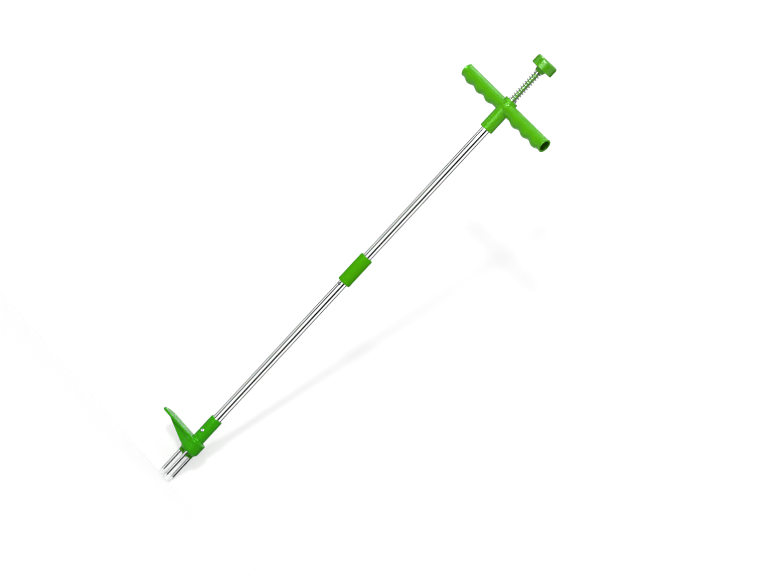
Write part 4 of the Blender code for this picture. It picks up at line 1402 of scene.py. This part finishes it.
@dataclass(frozen=True)
class Flag:
    """An upright dark band round the set, in degrees to the right of the camera.

    Grey is its brightness, and fade the width of its soft edges.
    """

    left: float
    right: float
    grey: float
    fade: float = 3.0


@dataclass(frozen=True)
class SoftBox(Flag):
    """A bright band with a lower and an upper edge, in degrees above the horizon."""

    low: float = 0.0
    high: float = 40.0


@dataclass(frozen=True)
class Lamp:
    """A lamp that points at the shaft.

    Spread is a sun's angle in degrees, or an area lamp's width. Right and near count from the
    shaft to the camera's right and towards it, and up from the floor.
    """

    name: str
    kind: str
    power: float
    spread: float
    right: float
    up: float
    near: float


@dataclass
class Studio:
    """White surroundings, soft lamps, and the camera.

    The camera stands at an azimuth about the shaft, counted from -Y towards +X, and is rolled so
    that the shaft leans in the picture. Polished steel reflects a white room with upright dark
    flags and bright soft boxes in it. The key lamp is high, so that its soft shadow falls on the
    sheet, and the front lamp is by the camera, so that round pieces turn darker to their sides.
    """

    azimuth: float = 30.0
    elevation: float = 6.0
    roll: float = 42.88
    aim: tuple[float, float, float] = (0.0499, 0.0303, 0.5131)
    distance: float = 7.0
    picture_width: float = 1.3474
    sensor: float = 36.0
    clip: tuple[float, float] = (0.05, 60.0)
    pixel_filter: float = 1.1
    floor_level: float = -0.8 * MM
    floor_half: float = 5.0
    floor_glow: float = 0.60
    sheet_gap: float = 0.0118
    sheet_lean: float = 28.0
    sheet_size: float = 4.0
    sheet_glow: float = 0.535
    paper_grey: float = 0.5
    card_turn: float = 80.0
    card_reach: float = 0.25
    card_half: float = 0.13
    card_levels: tuple[float, float] = (-0.07, 0.036)
    lamp_target: float = 0.5
    room: float = 0.42
    mirrored_room: float = 1.25
    flag_centre: float = -4.0
    flag_height: tuple[float, float] = (20.0, 34.0)
    softbox_fades: tuple[float, float] = (2.0, 3.0)
    flags: tuple[Flag, ...] = (
        Flag(-176, -114, 0.0, 4), Flag(-78, -46, 0.0), Flag(9, 52, 0.0),
        Flag(108, 174, 0.06, 5),
    )
    softboxes: tuple[SoftBox, ...] = (
        SoftBox(-44, -3, 32.0, 5, low=1.0, high=38.0),
        SoftBox(-150, -95, 20.0, 10, low=48.0, high=55.0),
    )
    lamps: tuple[Lamp, ...] = (
        Lamp("key_lamp", "SUN", 1.05, 7.0, right=-1.67, up=2.54, near=3.0),
        Lamp("top_lamp", "AREA", 12.0, 1.2, right=-0.5, up=2.8, near=1.0),
        Lamp("front_lamp", "AREA", 28.0, 1.6, right=-0.3, up=0.9, near=3.2),
    )

    def directions(self) -> tuple[np.ndarray, np.ndarray]:
        """Return the level direction from the shaft to the camera, and the one to its right."""
        angle = math.radians(self.azimuth)
        toward = np.array([math.sin(angle), -math.cos(angle), 0.0])
        right = np.array([math.cos(angle), math.sin(angle), 0.0])
        return toward, right

    def camera(self) -> None:
        """Stand the camera at its distance from the aim point, looking at it.

        With r, u and b the level right, the picture's upright and the way back to the camera, the
        camera's own axes are r and u turned by the roll about b.
        """
        level, right = self.directions()
        tilt, roll = math.radians(self.elevation), math.radians(self.roll)
        back = level * math.cos(tilt) + np.array([0, 0, math.sin(tilt)])
        upright_axis = np.cross(back, right)
        matrix = np.eye(4)
        matrix[:3, 0] = right * math.cos(roll) + upright_axis * math.sin(roll)
        matrix[:3, 1] = upright_axis * math.cos(roll) - right * math.sin(roll)
        matrix[:3, 2] = back
        matrix[:3, 3] = np.array(self.aim) + back * self.distance
        data = bpy.data.cameras.new("camera")
        data.sensor_width = self.sensor
        data.lens = data.sensor_width * self.distance / self.picture_width
        data.clip_start, data.clip_end = self.clip
        camera = bpy.data.objects.new("camera", data)
        camera.matrix_world = Matrix(matrix.tolist())
        bpy.context.scene.collection.objects.link(camera)
        bpy.context.scene.camera = camera

    def hang(self, lamp: Lamp) -> None:
        """Hang a lamp and point it at the middle of the shaft. Steel doesn't reflect it."""
        data = bpy.data.lights.new(lamp.name, lamp.kind)
        data.energy = lamp.power
        if lamp.kind == "SUN":
            data.angle = math.radians(lamp.spread)
        else:
            data.size = lamp.spread
        toward, side = self.directions()
        place = Vector(toward * lamp.near + side * lamp.right) + Vector((0, 0, lamp.up))
        aim = Vector((0, 0, self.lamp_target)) - place
        light = bpy.data.objects.new(lamp.name, data)
        light.location = place
        light.rotation_mode = "QUATERNION"
        light.rotation_quaternion = aim.to_track_quat("-Z", "Y")
        light.visible_glossy = False
        bpy.context.scene.collection.objects.link(light)

    def pale_material(self, name: str, glow_level: float,
                      one_sided: bool) -> bpy.types.Material:
        """White paper that stays white to the camera, and still takes a soft shadow.

        Args:
            name: The material's name.
            glow_level: What the paper gives off to the camera, on top of the light it scatters.
            one_sided: True if the paper can't be seen from behind.

        Returns:
            The material.
        """
        material = bpy.data.materials.new(name)
        material.use_nodes = True
        tree = material.node_tree
        tree.nodes.clear()
        sheet = NodeSheet(tree)
        path = sheet.add("LightPath")
        strength = sheet.math("MULTIPLY", glow_level, path.outputs["Is Camera Ray"])
        paper = sheet.add("BsdfDiffuse", {"Color": (*[self.paper_grey] * 3, 1)})
        glow = sheet.add("Emission", {"Color": (1, 1, 1, 1), "Strength": strength})
        shader = sheet.add("AddShader", {0: paper.outputs[0], 1: glow.outputs[0]}).outputs[0]
        if one_sided:
            clear = sheet.add("BsdfTransparent")
            behind = sheet.add("NewGeometry").outputs["Backfacing"]
            shader = sheet.add("MixShader", {0: behind, 1: shader, 2: clear.outputs[0]}).outputs[0]
        output = tree.nodes.new("ShaderNodeOutputMaterial")
        tree.links.new(shader, output.inputs["Surface"])
        return material

    @staticmethod
    def panel(name: str, foot: np.ndarray, side: np.ndarray, rise: np.ndarray,
              material: bpy.types.Material) -> bpy.types.Object:
        """Make a flat stage piece.

        Args:
            name: The piece's name.
            foot: The middle of its first edge.
            side: Half of that edge, to the right.
            rise: The way from that edge to the one across.
            material: Its material.

        Returns:
            The piece's object.
        """
        corners = np.array([foot - side, foot + side, foot + side + rise, foot - side + rise])
        plane = Surface(corners, np.array([[0, 1, 2, 3]])).to_object(name)
        plane.data.materials.append(material)
        return plane

    def surroundings(self) -> None:
        """Lay the floor just under the tines, and lean a sheet back from a line behind them."""
        half, wide = self.floor_half, self.sheet_size
        paper = self.pale_material("pale_floor", self.floor_glow, one_sided=False)
        floor = self.panel("floor", np.array([0, -half, self.floor_level]),
                           np.array([half, 0, 0]), np.array([0, 2 * half, 0]), paper)
        lean = math.radians(self.sheet_lean)
        up = np.array([0, math.sin(lean), math.cos(lean)])
        paper = self.pale_material("pale_backdrop", self.sheet_glow, one_sided=True)
        sheet = self.panel("backdrop", np.array([0, self.sheet_gap, self.floor_level]),
                           np.array([wide, 0, 0]), up * wide, paper)
        floor.visible_glossy = sheet.visible_glossy = False

    def tine_card(self) -> None:
        """Stand a low black card to the right of the tines, where only their polish meets it."""
        toward, right = self.directions()
        angle = math.radians(self.card_turn)
        low, high = (np.array([0, 0, level]) for level in self.card_levels)
        middle = (toward * math.cos(angle) + right * math.sin(angle)) * self.card_reach
        along = (toward * math.sin(angle) - right * math.cos(angle)) * self.card_half
        black = bpy.data.materials.new("black_card")
        black.use_nodes = True
        black.node_tree.nodes["Principled BSDF"].inputs["Base Color"].default_value = (0, 0, 0, 1)
        card = self.panel("tine_card", middle + low, along, high - low, black)
        card.visible_camera = card.visible_diffuse = card.visible_shadow = False
        card.visible_transmission = False

    @staticmethod
    def band(sheet: NodeSheet, turn: bpy.types.NodeSocket, flag: Flag) -> bpy.types.NodeSocket:
        """Return 1 between a flag's two sides and 0 outside them, with faded edges."""
        middle, half = (flag.left + flag.right) / 2, (flag.right - flag.left) / 2
        off = sheet.math("ABSOLUTE", sheet.math("SUBTRACT", turn, middle))
        return sheet.spread(off, half - flag.fade / 2, half + flag.fade / 2, 1.0, 0.0)

    def world(self) -> None:
        """White to the camera, plain grey light, and a flagged white room for mirror rays.

        A mirror ray here is a glossy one that hasn't met a matt surface on its way.

        Turn is the ray's azimuth in degrees to the camera's right, and rise its elevation. The
        flags stand near the horizon only, and a soft box adds its light to what is there.
        """
        world = bpy.data.worlds.new("studio")
        bpy.context.scene.world = world
        world.use_nodes = True
        tree = world.node_tree
        tree.nodes.clear()
        sheet = NodeSheet(tree)
        ray = sheet.add("SeparateXYZ", {0: sheet.add("TexCoord").outputs["Generated"]})
        angle = sheet.math("ARCTAN2", ray.outputs["Y"], ray.outputs["X"])
        turned = sheet.math("ADD", angle, math.radians(90.0 - self.azimuth))
        wrapped = sheet.math("WRAP", turned, math.pi, -math.pi)
        turn = sheet.math("DEGREES", wrapped)
        rise = sheet.math("DEGREES", sheet.math("ARCSINE", ray.outputs["Z"]))
        off_level = sheet.math("ABSOLUTE", sheet.math("SUBTRACT", rise, self.flag_centre))
        level = sheet.spread(off_level, *self.flag_height, 1.0, 0.0)
        shine: object = self.mirrored_room
        for flag in self.flags:
            part = sheet.math("MULTIPLY", self.band(sheet, turn, flag), level)
            gap = sheet.math("SUBTRACT", flag.grey, shine)
            shine = sheet.math("MULTIPLY_ADD", gap, part, shine)
        foot, head = self.softbox_fades
        for box in self.softboxes:
            above = sheet.spread(rise, box.low - foot, box.low + foot)
            under = sheet.spread(rise, box.high - head, box.high + head, 1.0, 0.0)
            part = sheet.math("MULTIPLY", self.band(sheet, turn, box), above)
            part = sheet.math("MULTIPLY", part, under)
            shine = sheet.math("MULTIPLY_ADD", part, box.grey, shine)
        path = sheet.add("LightPath")
        gap = sheet.math("SUBTRACT", shine, self.room)
        unscattered = sheet.math("LESS_THAN", path.outputs["Diffuse Depth"], 0.5)
        mirrored = sheet.math("MULTIPLY", path.outputs["Is Glossy Ray"], unscattered)
        light = sheet.math("MULTIPLY_ADD", gap, mirrored, self.room)
        seen = sheet.math("MAXIMUM", path.outputs["Is Camera Ray"],
                          path.outputs["Is Transmission Ray"])
        shown = sheet.math("MULTIPLY_ADD", sheet.math("SUBTRACT", 1.0, light), seen, light)
        background = sheet.add("Background", {"Color": (1, 1, 1, 1), "Strength": shown})
        output = tree.nodes.new("ShaderNodeOutputWorld")
        tree.links.new(background.outputs[0], output.inputs["Surface"])

    def build(self) -> None:
        """Set the whole stage."""
        bpy.context.scene.view_settings.view_transform = "Standard"
        bpy.context.scene.cycles.filter_width = self.pixel_filter
        self.camera()
        self.world()
        self.surroundings()
        self.tine_card()
        for lamp in self.lamps:
            self.hang(lamp)


def main() -> None:
    """Build the pieces in order, from the handle down, then the stage."""
    logging.basicConfig(level=logging.INFO, format="%(name)s %(message)s")
    groups: Iterable[SubAssembly] = (Handle(), Shaft(), ClawHead(), Plunger())
    for group in groups:
        group.build()
        LOG.info("%s: %s", type(group).__name__, ", ".join(group.made))
    Studio().build()


if __name__ == "__main__":
    main()
